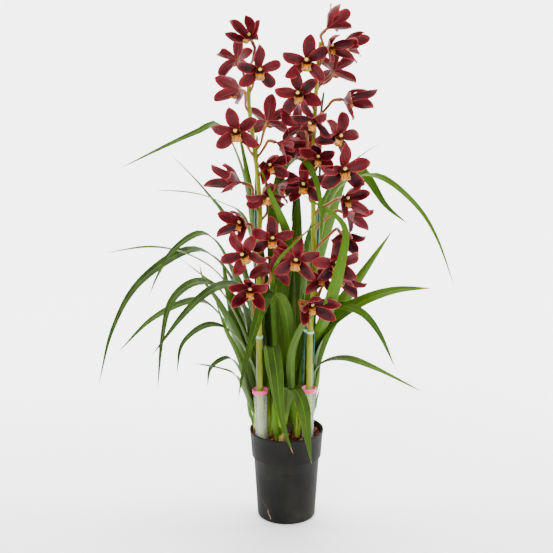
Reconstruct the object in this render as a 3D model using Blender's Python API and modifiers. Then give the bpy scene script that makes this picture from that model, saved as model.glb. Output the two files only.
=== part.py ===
"""A potted orchid: two flower spikes and a crown of strap leaves in a deep nursery pot.

The origin is the centre of the pot's underside, +Z is up and the plant's front faces -Y. The tables
of leaves and flowers are in centimetres; everything else is in metres.
"""

import math

import bmesh
import bpy
from mathutils import Matrix, Vector

CM = 0.01
GAP = 0.0003  # between pieces that touch

# The pot, a turned shell with a deep collar.
POT_HEIGHT = 0.151
RIM_RADIUS = 0.060
COLLAR_HEIGHT = 0.046
COLLAR_FOOT_RADIUS = 0.0562
BODY_TOP_RADIUS = 0.0532
BASE_RADIUS = 0.0473
BASE_ROUNDING = 0.005
WALL = 0.0016
FLOOR = 0.0024
POT_STEPS = 24
DRAIN_HOLES = 6
DRAIN_HOLE_RADIUS = 0.0045
DRAIN_CIRCLE_RADIUS = 0.030

# The bark that fills it.
BARK_TOP = 0.1435
BARK_BUMP = 0.0022
BARK_RINGS = 4
POCKET_DEPTH = 0.020
STAKE_POCKET_DEPTH = 0.045
SHOOT_POCKET_DEPTH = 0.0050
POCKET_CLEARANCE = 0.0010

# The clear sleeves round the feet of the flower stems, and the rings on them.
SLEEVE_HEIGHT = 0.104
SLEEVE_FOOT_RADIUS = 0.0093
SLEEVE_TOP_RADIUS = 0.0110
SLEEVE_WALL = 0.0008
RING_HEIGHT = 0.0066
RING_OUTER_RADIUS = 0.0125
RING_BELOW_TOP = 0.0062
SLEEVE_STEPS = 16

STEM_SIDES = 8
STEM_FOOT_RADIUS = 0.0050
STEM_TOP_RADIUS = 0.0022
PEDICEL_RADIUS = 0.0014
PEDICEL_SIDES = 4
STAKE_RADIUS = 0.0021
STAKE_SIDES = 7

SHEATH_HEIGHT = 0.052
SHEATH_RADIUS = 0.0068
BULB_RADIUS = 0.0060
LEAF_SEGMENTS = 9
LEAF_THICKNESS = 0.0011
LEAF_KEEL_DEPTH = 0.22  # of half the width
TEPAL_THICKNESS = 0.0012

# Centre lines of the two flower stems, foot to top, in centimetres.
LEFT_STEM = [(-3.9, -2.5, 12.4), (-4.3, -2.7, 23.5), (-4.4, -3.0, 42.5), (-4.2, -3.0, 53),
             (-4.9, -3.0, 61), (-5.7, -3.0, 67.5), (-5.8, -3.0, 72), (-5.6, -2.8, 75)]
RIGHT_STEM = [(3.3, -2.0, 12.4), (3.6, -2.0, 23.5), (3.7, -2.0, 32), (4.4, -2.0, 42), (4.1, -2.0, 50),
              (4.1, -2.0, 62.5), (4.5, -2.0, 72.5), (5.0, -1.8, 78)]

# Centre lines of the stakes, which stand in the bark.
STAKES = {
    "stake_left": [(-4.7, -1.3, 9.9), (-4.7, -1.3, 15), (-4.7, -1.3, 24), (-4.7, -2.15, 32),
                   (-4.9, -2.2, 45), (-4.8, -2.3, 56), (-4.6, -2.3, 64)],
    "stake_right": [(4.1, -0.5, 9.9), (4.1, -0.5, 15), (4.1, -0.5, 24), (4.4, -1.1, 32), (4.8, -1.2, 45),
                    (5.1, -1.2, 60), (5.2, -1.2, 67), (5.6, -1.2, 70.5)],
    "stake_right_short": [(2.6, -0.9, 9.9), (2.6, -0.9, 15), (2.6, -0.9, 24), (3.0, -1.2, 32),
                          (3.2, -1.2, 34.5)],
}

# Each shoot: where its sheaths stand (x, y), then its leaves as (width, facing, roll, points). The blade
# faces the compass angle `facing` (0 is +X, 90 is +Y) and rolls by `roll` degrees towards its tip.
SHOOTS = {
    "shoot_left_front": ([(-4.7, -0.2), (-2.8, -0.8)], [
        (1.3, 235, -20, [(-4.9, -0.3, 17), (-6.6, -3.0, 22.5), (-8, -4.9, 26), (-10.5, -5.9, 27.5),
            (-14.5, -6.5, 28.5)]),
        (1.4, 225, -15, [(-4.9, -0.2, 17), (-6.2, -1.8, 22), (-7.8, -3.1, 27), (-9.5, -3.7, 28.5),
            (-12, -4.2, 27), (-12.6, -4.4, 24)]),
        (1.2, 240, 0, [(-4.9, -0.2, 17), (-7.2, -1.8, 27), (-9.5, -2.6, 32.5), (-11.2, -2.8, 37.5)]),
        (1.5, 225, -20, [(-3.0, -0.7, 17), (-5.4, -0.5, 26), (-8.5, -1.9, 32), (-12.5, -2.3, 33.5),
            (-16.5, -2.6, 30.5), (-17.5, -2.8, 25.5)]),
        (1.9, 225, -25, [(-2.9, -0.7, 17), (-3.6, -0.2, 30), (-5.3, -0.6, 37.5), (-8.5, -3.4, 40.5),
            (-12, -5.2, 40), (-16, -6.2, 36.5), (-21, -7, 30)]),
        (1.6, 220, -20, [(-2.9, -0.6, 17), (-5.5, -0.2, 28), (-10, -1.6, 38.5), (-14, -3.6, 41),
            (-18, -4, 38), (-19.6, -4, 32), (-20.5, -4, 23.5)]),
    ]),
    "shoot_left_back": ([(-4.2, 1.2), (-2.8, 3.0)], [
        (1.8, 235, 0, [(-4.4, 1.2, 17), (-7.4, 0.6, 29), (-10.5, 0.0, 36), (-13, -0.4, 40),
            (-13.8, -0.6, 43)]),
        (1.6, 220, -20, [(-4.4, 1.3, 17), (-7.6, 1.6, 28), (-11, 1.4, 34.5), (-15, 1.2, 36.5),
            (-21.5, 0.8, 33.5), (-27, 0.6, 28)]),
        (1.8, 225, -20, [(-4.3, 1.4, 17), (-6.6, 2.0, 34), (-10, 2.6, 44), (-13.5, 2.6, 47.2),
            (-18, 2.4, 44.5), (-20.5, 2.2, 40.5), (-22, 2, 37)]),
        (2.0, 250, 0, [(-4.2, 1.4, 17), (-5.8, 2.0, 26), (-8.2, 2.4, 33), (-9.6, 2.4, 39),
            (-10.4, 2.4, 43.5)]),
        (1.4, 225, -15, [(-3.0, 3.0, 17), (-6.2, 3.6, 30), (-10, 3.8, 39), (-15, 4.0, 43),
            (-21.5, 4.2, 44.5), (-29, 4.2, 43.5)]),
        (1.5, 225, -20, [(-2.9, 3.1, 17), (-6.0, 4.4, 32), (-10.5, 5.0, 41.5), (-16, 5.4, 43.6),
            (-24, 5.6, 38), (-28.5, 5.6, 30), (-31, 5.6, 20.5)]),
        (1.3, 230, 0, [(-2.8, 3.2, 17), (-5.2, 5.4, 33), (-9, 6.6, 47), (-13, 7.0, 53),
            (-18.5, 7.2, 59)]),
    ]),
    "shoot_back": ([(-0.4, 3.9)], [
        (1.3, 240, -10, [(-0.6, 3.9, 17), (-3.5, 6.8, 28), (-8.5, 8.0, 35), (-13, 8.2, 38),
            (-17.5, 8.4, 41.5)]),
        (1.6, 250, 0, [(-0.5, 3.9, 17), (-3.4, 5.0, 36), (-5.6, 5.6, 52), (-7, 5.8, 60),
            (-8.2, 5.9, 65.5)]),
        (1.2, 245, 0, [(-0.6, 4.1, 17), (-4.5, 7.6, 30), (-8.5, 9.6, 39), (-11.5, 10, 42)]),
        (1.4, 290, 15, [(-0.3, 3.9, 17), (3.0, 5.0, 42), (6.6, 5.6, 53), (10, 5.6, 57.6),
            (14.5, 5.6, 61)]),
        (1.8, 305, 25, [(-0.2, 4.0, 17), (4.2, 6.6, 40), (8.0, 7.2, 53.5), (10.4, 7.4, 57),
            (13, 7.4, 55), (16, 7.4, 50.5), (19.5, 7.4, 47.5)]),
    ]),
    "shoot_middle": ([(-2.3, 1.1), (0.1, 0.4)], [
        (1.8, 225, -25, [(-2.4, 1.0, 17), (-4.4, 0.6, 36), (-5.8, 0.7, 52), (-7.6, 0.8, 60),
            (-10.5, 0.8, 65), (-14, 0.8, 63.8), (-19, 0.8, 61.5), (-26, 0.8, 58)]),
        (1.5, 225, -15, [(-2.4, 1.3, 17), (-4.0, 2.8, 38), (-6.5, 3.6, 49), (-10.5, 3.8, 52),
            (-15, 4.0, 53.4), (-21, 4.2, 53.8)]),
        (2.0, 270, 0, [(0.1, 0.6, 17), (0.8, 0.9, 36), (1.5, 0.8, 47), (1.5, 0.5, 53.5)]),
        (1.7, 270, 0, [(0.0, 0.3, 17), (-1.6, 0.4, 36), (-2.2, -0.2, 49), (-1.2, -1.4, 56.5),
            (-0.2, -3.2, 59.6), (1.6, -5.0, 60.8), (3.4, -6.8, 60), (4.6, -7.9, 57), (5.2, -8.2, 53),
            (5.1, -8.2, 48)]),
        (1.9, 290, 0, [(0.1, 0.5, 17), (-0.4, 1.8, 32), (-0.8, 2.2, 42), (-1.0, 2.3, 47)]),
    ]),
    "shoot_front": ([(-0.7, -4.2), (-0.8, -1.9)], [
        (1.9, 270, 0, [(-0.8, -4.3, 17), (-2.6, -4.9, 23.5), (-3.3, -5.3, 29), (-2.6, -6.0, 31.4),
            (-1.6, -6.7, 27), (-1, -7.0, 21), (-0.2, -7.1, 17), (1, -7.1, 13.5)]),
        (1.8, 285, 0, [(-0.6, -4.3, 17), (-0.1, -4.9, 21), (0.4, -5.6, 24), (1.6, -6.6, 23.8),
            (2.7, -7.1, 21), (3.2, -7.3, 17), (3.9, -7.4, 12)]),
        (1.9, 250, 0, [(-0.7, -1.9, 17), (0.4, -1.9, 26), (0.3, -3.0, 33), (-0.6, -4.6, 38),
            (-2.3, -5.6, 39.9), (-3.8, -6.0, 38), (-5.6, -6.5, 32), (-7, -7.0, 26.5),
            (-7.6, -7.2, 23)]),
        (1.9, 270, 0, [(-0.8, -1.9, 17), (-1.2, -1.6, 33), (0.0, -3.0, 45), (0.0, -3.8, 48.3),
            (-0.8, -5.8, 51.5), (-2.6, -7.4, 56), (-4.5, -7.6, 61)]),
        (0.8, 285, 10, [(-0.9, -2.0, 17), (-2.0, -3.0, 34), (-2.2, -4.2, 41), (-1.4, -6.4, 45),
            (1.0, -7.2, 48), (4.2, -7.2, 51), (8, -6.4, 53.5)]),
    ]),
    "shoot_right_front": ([(1.5, -1.3)], [
        (1.4, 300, 20, [(1.4, -1.4, 17), (0.7, -3.2, 24), (0.7, -4.2, 29), (1.8, -4.5, 32.8),
            (3.2, -4.4, 35), (6.2, -4.5, 37.2), (9, -4.9, 37.4), (12, -5.4, 36.2), (14.5, -5.7, 33),
            (17, -5.8, 27.5)]),
        (1.8, 270, 0, [(1.6, -1.4, 17), (2.3, -3.9, 24.5), (4.7, -5.2, 32.5), (6.4, -6.9, 39),
            (8.3, -7.6, 45), (8.9, -7.6, 49), (7.8, -7.3, 52), (5.2, -7.1, 53.8), (2.4, -6.8, 55.6)]),
    ]),
    "shoot_right_back": ([(3.1, 1.2)], [
        (1.9, 300, 20, [(3.2, 1.1, 17), (5.2, 1.6, 28), (8.4, 2.0, 35), (13, 1.0, 42.5),
            (16.5, 0.4, 48)]),
        (2.1, 320, 45, [(3.4, 0.9, 17), (5.0, 0.6, 28.5), (7.6, -0.8, 34), (12, -2.6, 37.6),
            (17, -3.6, 39.6), (22.5, -4, 40)]),
        (1.4, 305, 30, [(2.9, 1.5, 17), (4.0, 2.8, 40), (6.6, 3.4, 52), (10, 3.5, 55.8),
            (15, 3.6, 56), (20.5, 3.6, 51.5), (24, 3.6, 46), (27, 3.6, 38)]),
        (1.2, 325, 20, [(3.2, 1.0, 17), (3.9, 0.6, 22.5), (5.4, -0.2, 26.2), (9, -2.4, 28),
            (13.5, -3.8, 27), (21.5, -4.5, 23)]),
    ]),
}

# Each flower: (x, y, z, azimuth, tilt, roll, size, kind, height where its stalk leaves the stem, bow).
# Azimuth 0 faces the front and 90 faces +X; a positive tilt looks up. The bow bends the stalk to the right.
LEFT_FLOWERS = [
    (-5.4, -2.6, 78.3, -30, 45, 0, 0.69, "cupped", 74.5, 0),
    (-7.6, -1.4, 75.2, 205, 10, 0, 0.69, "open", 71.5, 0),
    (-4.4, -4.6, 74.2, 15, 0, 0, 0.81, "open", 70.5, 0),
    (-7.2, -3.6, 71.0, 215, -5, 20, 0.76, "cupped", 67.5, 0),
    (-7.5, -4.8, 65.0, -12, 0, 10, 0.99, "open", 60.5, 0),
    (-3.0, -2.9, 66.0, 165, 15, 0, 0.95, "open", 61.5, 0),
    (-1.4, -3.7, 62.9, 75, -20, 0, 0.72, "cupped", 60.3, 0),
    (-3.1, -4.4, 59.6, 25, 5, 10, 0.74, "cupped", 57.5, 0),
    (-7.2, -4.6, 57.0, -65, 15, 0, 0.92, "cupped", 52.0, 0),
    (-3.2, -5.4, 55.4, 15, -35, 0, 0.81, "open", 52.8, 0),
    (-1.5, -2.9, 56.0, 60, -5, 0, 0.63, "cupped", 50.5, 0),
    (-6.6, -4.2, 50.4, -40, 10, 0, 0.81, "cupped", 46.5, 0),
    (-6.4, -6.0, 46.2, -15, -5, 30, 0.95, "open", 43.5, 0),
    (-2.4, -5.4, 48.4, 8, 5, 0, 0.81, "open", 44.8, 0),
    (-5.6, -5.4, 40.2, -5, 5, 0, 0.90, "cupped", 33.5, 0),
    (-2.4, -5.1, 43.0, 170, 25, 20, 0.92, "open", 38.5, 0),
    (-1.7, -0.9, 44.0, 60, 0, 0, 0.56, "cupped", 39.5, 0),
]
RIGHT_FLOWERS = [
    (6.0, -1.6, 80.0, 120, 35, 0, 0.81, "cupped", 76.5, 0),
    (8.0, -1.8, 77.6, 75, 0, 0, 0.74, "cupped", 74.5, 0),
    (3.0, -4.9, 75.6, -8, 5, 0, 0.92, "open", 72.5, 0),
    (7.0, -0.4, 73.4, 160, 10, 0, 0.90, "open", 70.6, 0),
    (2.0, -5.2, 70.8, -18, 0, 10, 0.96, "open", 67.5, 0),
    (4.2, -5.8, 67.0, -40, -30, 0, 0.94, "open", 64.6, 0),
    (8.5, -4.0, 69.6, 50, 0, 10, 0.85, "cupped", 65.8, 0),
    (2.1, -2.7, 65.2, 205, 5, 0, 0.86, "open", 60.4, 0),
    (7.4, -4.6, 64.2, 28, 0, -25, 0.85, "open", 60.9, 0),
    (8.4, -5.0, 59.2, 15, 0, 5, 1.08, "open", 56.0, 0),
    (8.7, -3.6, 54.2, 30, 5, 0, 0.83, "cupped", 51.0, 0),
    (9.2, -1.6, 51.4, 55, -15, 0, 0.74, "cupped", 48.6, 0),
    (8.3, -2.8, 48.5, 20, -20, 0, 0.85, "cupped", 45.6, 0),
    (1.6, -5.2, 45.0, -12, 0, -5, 1.03, "open", 41.6, 0),
    (7.4, -4.7, 44.4, 12, 0, 0, 1.01, "open", 40.8, 0),
    (8.2, -1.8, 41.2, 35, -35, 0, 0.85, "cupped", 37.6, 0),
    (3.4, -5.2, 37.8, 25, -5, 0, 0.90, "cupped", 32.6, -0.6),
    (5.6, -3.4, 41.4, -10, 10, 0, 0.58, "cupped", 36.6, 0),
    (6.0, -3.9, 77.5, 40, 10, 0, 0.56, "cupped", 74.0, 0),
    (4.9, -4.0, 60.6, -10, 15, 0, 0.62, "cupped", 57.6, 0),
    (2.2, -1.0, 60.6, 200, 15, 0, 0.80, "open", 57.0, 0),
    (3.0, -2.6, 56.2, -25, 5, 0, 0.85, "open", 53.0, 0),
]

# Tepal lengths and widths are for a flower of size 1.
SEPAL_ANGLES = (90, -38, 218)
PETAL_ANGLES = (22, 158)
TEPAL_ANGLES = SEPAL_ANGLES + PETAL_ANGLES
LIP_ANGLE = 270
TEPAL_LENGTH = 0.032
PETAL_SHARE = 0.94  # of a sepal's length
TEPAL_WIDTH = 0.0165
LIP_WIDTH = 0.012
HUB_RADIUS = 0.0028
HUB_DEPTH = 0.0024
COLUMN_LENGTH = 0.012
COLUMN_RADIUS = 0.0023
OVARY_RADIUS = 0.0019
OVARY_LENGTH = 0.004
# How far the middle and the tip of a tepal stand forward, as shares of its length.
TEPAL_RISE = {"open": (0.14, 0.06), "cupped": (0.42, 0.62)}


def clear_scene():
    for obj in list(bpy.data.objects):
        bpy.data.objects.remove(obj, do_unlink=True)


def material(name, colour, roughness, metallic=0.0):
    made = bpy.data.materials.new(name)
    made.use_nodes = True
    made.diffuse_color = (*colour, 1)
    shader = made.node_tree.nodes["Principled BSDF"]
    shader.inputs["Base Color"].default_value = (*colour, 1)
    shader.inputs["Roughness"].default_value = roughness
    shader.inputs["Metallic"].default_value = metallic
    return made


def collection(name):
    made = bpy.data.collections.new(name)
    bpy.context.scene.collection.children.link(made)
    return made


def add_object(name, mesh, finish=None):
    """The mesh as an object of the plant, or as a helper where it has no finish."""
    obj = bpy.data.objects.new(name, mesh)
    if finish is None:
        HELPERS.objects.link(obj)
        obj.hide_render = True
        obj.display_type = "WIRE"
        return obj
    PLANT.objects.link(obj)
    obj.data.materials.clear()
    obj.data.materials.append(finish)
    return obj


def evaluated_mesh(obj):
    bpy.context.view_layer.update()
    graph = bpy.context.evaluated_depsgraph_get()
    return bpy.data.meshes.new_from_object(obj.evaluated_get(graph), depsgraph=graph)


def combine(meshes, operation="UNION", solver="EXACT"):
    """One mesh: the first joined with each of the others, or with each of them cut away."""
    base = add_object("base", meshes[0])
    others = [add_object("other", mesh) for mesh in meshes[1:]]
    for other in others:
        modifier = base.modifiers.new("combine", "BOOLEAN")
        modifier.operation = operation
        modifier.solver = solver
        modifier.object = other
    result = evaluated_mesh(base)
    for obj in [base, *others]:
        bpy.data.objects.remove(obj)
    return result


def smooth_path(points, pieces):
    """The curve through the points, as pieces + 1 points at even steps along it."""
    ends = [2 * points[0] - points[1], *points, 2 * points[-1] - points[-2]]
    fine = []
    for before, start, end, after in zip(ends, ends[1:], ends[2:], ends[3:]):
        for step in range(8):
            t = step / 8
            fine.append(0.5 * (2 * start + (end - before) * t
                               + (2 * before - 5 * start + 4 * end - after) * t ** 2
                               + (3 * start - before - 3 * end + after) * t ** 3))
    fine.append(points[-1].copy())
    run = [0.0]
    for start, end in zip(fine, fine[1:]):
        run.append(run[-1] + (end - start).length)
    path, at = [], 0
    for piece in range(pieces + 1):
        wanted = run[-1] * piece / pieces
        while at < len(run) - 2 and run[at + 1] < wanted:
            at += 1
        share = (wanted - run[at]) / max(run[at + 1] - run[at], 1e-9)
        path.append(fine[at].lerp(fine[at + 1], min(share, 1)))
    return path


def directions(path):
    """The direction of the path at each of its points."""
    last = len(path) - 1
    return [(path[min(i + 1, last)] - path[max(i - 1, 0)]).normalized() for i in range(last + 1)]


def loft(rings, pointed):
    """A closed skin over the rings, whose last ring is drawn to a point where it is pointed."""
    bm = bmesh.new()
    if pointed:
        body = [[bm.verts.new(point) for point in ring] for ring in rings[:-1]]
        tip = bm.verts.new(sum(rings[-1], Vector()) / len(rings[-1]))
    else:
        body = [[bm.verts.new(point) for point in ring] for ring in rings]
    count = len(body[0])
    for ring, following in zip(body, body[1:]):
        for i in range(count):
            j = (i + 1) % count
            # Both sides of a thin blade are split along matching lines, or they would cross where it twists.
            if count == 4 and i % 2:
                bm.faces.new((ring[i], ring[j], following[i]))
                bm.faces.new((ring[j], following[j], following[i]))
            else:
                bm.faces.new((ring[i], ring[j], following[j]))
                bm.faces.new((ring[i], following[j], following[i]))
    bm.faces.new(reversed(body[0]))
    if pointed:
        for i in range(count):
            bm.faces.new((body[-1][i], body[-1][(i + 1) % count], tip))
    else:
        bm.faces.new(body[-1])
    bmesh.ops.recalc_face_normals(bm, faces=bm.faces)
    mesh = bpy.data.meshes.new("loft")
    bm.to_mesh(mesh)
    bm.free()
    return mesh


def blade(path, sides, widths, thickness, keel):
    """A strap that follows the path: a shallow channel whose middle is thickness deep."""
    rings = []
    for point, along, side, width in zip(path, directions(path), sides, widths):
        side = (side - along * side.dot(along)).normalized()
        back = along.cross(side)
        middle = point - back * keel * width / 2
        rings.append([point - side * width / 2, middle + back * thickness / 2,
                      point + side * width / 2, middle - back * thickness / 2])
    return loft(rings, pointed=True)


def tube(path, radii, sides, pointed=False):
    rings = []
    side = Vector((0, 1, 0)) if abs(directions(path)[0].y) < 0.9 else Vector((1, 0, 0))
    for point, along, radius in zip(path, directions(path), radii):
        side = (side - along * side.dot(along)).normalized()
        other = along.cross(side)
        turns = [2 * math.pi * i / sides for i in range(sides)]
        rings.append([point + (side * math.cos(a) + other * math.sin(a)) * radius for a in turns])
    return loft(rings, pointed)


def turned(profile, steps, closed):
    """The mesh of a profile of (radius, height) pairs, which runs down the outside, turned about Z."""
    line = bpy.data.meshes.new("profile")
    edges = [(i, i + 1) for i in range(len(profile) - 1)]
    if closed:
        edges.append((len(profile) - 1, 0))
    line.from_pydata([(radius, 0, height) for radius, height in profile], edges, [])
    obj = add_object("profile", line)
    screw = obj.modifiers.new("turn", "SCREW")
    screw.steps = screw.render_steps = steps
    screw.use_merge_vertices = True
    screw.merge_threshold = 0.0001
    mesh = evaluated_mesh(obj)
    bpy.data.objects.remove(obj)
    return mesh


def shade(obj, angle=40):
    obj.data.shade_smooth()
    obj.data.set_sharp_from_angle(angle=math.radians(angle))


def cylinder(centre, radius, height, sides):
    """A closed cylinder that stands on its centre."""
    bm = bmesh.new()
    bmesh.ops.create_cone(bm, cap_ends=True, segments=sides, radius1=radius, radius2=radius, depth=height,
                          matrix=Matrix.Translation(centre + Vector((0, 0, height / 2))))
    mesh = bpy.data.meshes.new("cylinder")
    bm.to_mesh(mesh)
    bm.free()
    return mesh


def radius_inside_pot(height):
    """The pot's inner radius at this height, below its collar's step."""
    body_top = POT_HEIGHT - COLLAR_HEIGHT
    return BASE_RADIUS + (BODY_TOP_RADIUS - BASE_RADIUS) * height / body_top - WALL


def build_pot():
    body_top = POT_HEIGHT - COLLAR_HEIGHT
    outer = [(RIM_RADIUS - 0.0014, POT_HEIGHT), (RIM_RADIUS, POT_HEIGHT - 0.001),
             (RIM_RADIUS, POT_HEIGHT - 0.0035), (RIM_RADIUS - 0.0008, POT_HEIGHT - 0.0045),
             (COLLAR_FOOT_RADIUS, body_top + 0.0008), (COLLAR_FOOT_RADIUS - 0.0008, body_top),
             (BODY_TOP_RADIUS, body_top - 0.0004)]
    rounding = [math.radians(90 * i / 3) for i in range(4)]
    foot = [(BASE_RADIUS - BASE_ROUNDING * (1 - math.cos(a)), BASE_ROUNDING * (1 - math.sin(a)))
            for a in rounding]
    inner = [(radius_inside_pot(FLOOR) - BASE_ROUNDING / 2, FLOOR), (radius_inside_pot(0.008), 0.008),
             (BODY_TOP_RADIUS - WALL, body_top - 0.001), (COLLAR_FOOT_RADIUS - WALL, body_top + 0.002),
             (RIM_RADIUS - 0.0008 - WALL, POT_HEIGHT - 0.0045), (RIM_RADIUS - WALL - 0.0006, POT_HEIGHT)]
    shell = turned([(0, FLOOR), *inner, *outer, *foot, (0, 0)], POT_STEPS, closed=False)
    holes = []
    for i in range(DRAIN_HOLES):
        turn = 2 * math.pi * (i + 0.3) / DRAIN_HOLES
        centre = Vector((math.cos(turn), math.sin(turn), 0)) * DRAIN_CIRCLE_RADIUS
        holes.append(cylinder(centre - Vector((0, 0, FLOOR)), DRAIN_HOLE_RADIUS, 3 * FLOOR, 8))
    shade(add_object("pot", combine([shell, *holes], "DIFFERENCE"), POT_FINISH))


def build_bark(pockets):
    """The bark: a plug that fills the pot, with a lumpy top and a pocket for each piece set in it."""
    body_top = POT_HEIGHT - COLLAR_HEIGHT
    foot_height = FLOOR + GAP
    wide = COLLAR_FOOT_RADIUS - WALL - 2 * GAP
    side = [(radius_inside_pot(0.008) - 4 * GAP - BASE_ROUNDING / 2, foot_height),
            (radius_inside_pot(0.010) - 2 * GAP, 0.010),
            (BODY_TOP_RADIUS - WALL - 2 * GAP, body_top - 0.002), (wide, body_top + 0.004),
            (wide + 0.0022, BARK_TOP - 0.003)]
    bm = bmesh.new()
    rings = []
    for radius, height in side:
        rings.append([bm.verts.new((radius * math.cos(a), radius * math.sin(a), height)) for a in TURNS])
    for i in range(BARK_RINGS - 1, 0, -1):
        radius = (wide + 0.0014) * i / BARK_RINGS
        heights = [BARK_TOP + BARK_BUMP * math.sin(5 * a + 2.1 * i) * math.cos(3 * a + i) for a in TURNS]
        rings.append([bm.verts.new((radius * math.cos(a), radius * math.sin(a), height))
                      for a, height in zip(TURNS, heights)])
    for lower, upper in zip(rings, rings[1:]):
        for i in range(len(TURNS)):
            j = (i + 1) % len(TURNS)
            bm.faces.new((lower[i], lower[j], upper[j], upper[i]))
    bm.faces.new(reversed(rings[0]))
    bm.faces.new(rings[-1])
    bmesh.ops.recalc_face_normals(bm, faces=bm.faces)
    mesh = bpy.data.meshes.new("bark")
    bm.to_mesh(mesh)
    bm.free()
    shade(add_object("potting_bark", combine([mesh, *pockets], "DIFFERENCE"), BARK_FINISH))


def stem_path(points, pieces=14):
    return smooth_path([Vector(p) * CM for p in points], pieces)


def stem_radius(height, foot, top):
    share = (height - foot) / (top - foot)
    return STEM_FOOT_RADIUS + (STEM_TOP_RADIUS - STEM_FOOT_RADIUS) * share ** 1.3


def point_at(path, height):
    """Where the path passes this height."""
    for start, end in zip(path, path[1:]):
        if start.z <= height <= end.z:
            return start.lerp(end, (height - start.z) / (end.z - start.z))
    return path[-1].copy()


def flower_axes(azimuth, tilt, roll):
    """A flower's right, up and outward directions."""
    azimuth, tilt, roll = map(math.radians, (azimuth, tilt, roll))
    out = Vector((math.sin(azimuth) * math.cos(tilt), -math.cos(azimuth) * math.cos(tilt), math.sin(tilt)))
    right = Vector((math.cos(azimuth), math.sin(azimuth), 0))
    up = out.cross(right)
    turned_right = right * math.cos(roll) + up * math.sin(roll)
    return turned_right, out.cross(turned_right), out


def flower_matrix(azimuth, tilt, roll, size, place):
    right, up, out = flower_axes(azimuth, tilt, roll)
    turn = Matrix((right, up, out)).transposed().to_4x4()
    return Matrix.Translation(place) @ turn @ Matrix.Scale(size, 4)


def pedicel(path, row):
    """The stalk from the stem to the back of one flower."""
    x, y, z, azimuth, tilt, roll, size, kind, height, bow = row
    out = flower_axes(azimuth, tilt, roll)[2]
    joint = Vector((x, y, z)) * CM - out * (OVARY_LENGTH * size + GAP)
    start = point_at(path, height * CM)
    reach = (joint - start).length
    away = (joint - start)
    away.z = 0
    leave = start + away.normalized() * reach * 0.18 + Vector((0, 0, reach * 0.22))
    arrive = joint - out * reach * 0.28 - Vector((0, 0, reach * 0.06))
    leave.x += bow * CM * 0.7
    arrive.x += bow * CM
    line = smooth_path([start, leave, leave.lerp(arrive, 0.55), arrive, joint], 5)
    return tube(line, [PEDICEL_RADIUS] * len(line), PEDICEL_SIDES)


def build_spike(name, points, flowers):
    path = stem_path(points)
    foot, top = path[0].z, path[-1].z
    radii = [stem_radius(point.z, foot, top) for point in path]
    stem = tube(path, radii, STEM_SIDES)
    stalks = [pedicel(path, row) for row in flowers]
    shade(add_object(name, combine([stem, *stalks]), STEM_FINISH), 60)


def add_ring(bm, points):
    return [bm.verts.new(point) for point in points]


def bridge(bm, lower, upper):
    for i in range(len(lower)):
        j = (i + 1) % len(lower)
        bm.faces.new((lower[i], lower[j], upper[j], upper[i]))


def draw_to_point(bm, ring, point):
    tip = bm.verts.new(point)
    for i in range(len(ring)):
        bm.faces.new((ring[i], ring[(i + 1) % len(ring)], tip))


def strap_ring(centre, across, back, width):
    """Four corners of a flat section."""
    half = across * width / 2
    back = back * TEPAL_THICKNESS
    return [centre - half, centre + half, centre + half + back, centre - half + back]


def grow_tepal(bm, root, angle, length, rise):
    """A tepal that grows from four corners of the hub, at this angle from +X."""
    outward = Vector((math.cos(math.radians(angle)), math.sin(math.radians(angle)), 0))
    across = Vector((-outward.y, outward.x, 0))
    shares = (0.0, 0.40, 0.76, 1.0)
    heights = (0.0, rise[0] * 0.7, (rise[0] + rise[1]) * 0.5, rise[1])
    path = [outward * (HUB_RADIUS + (length - HUB_RADIUS) * share) + Vector((0, 0, length * height))
            for share, height in zip(shares, heights)]
    ring = root
    for point, along, share in zip(path[1:3], directions(path)[1:3], (0.86, 0.92)):
        following = add_ring(bm, strap_ring(point, across, across.cross(along), TEPAL_WIDTH * share))
        bridge(bm, ring, following)
        ring = following
    draw_to_point(bm, ring, path[3])


def grow_lip(bm, root):
    """The lip: out under the column, then turned down at its tip."""
    across = Vector((1, 0, 0))
    path = [Vector((0, -0.0062, 0.0070)), Vector((0, -0.0088, 0.0130)), Vector((0, -0.0165, 0.0148))]
    ring = root
    for point, along, share in zip(path[:2], directions(path)[:2], (0.42, 1.0)):
        following = add_ring(bm, strap_ring(point, across, across.cross(along), LIP_WIDTH * share))
        bridge(bm, ring, following)
        ring = following
    draw_to_point(bm, ring, path[2])


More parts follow.
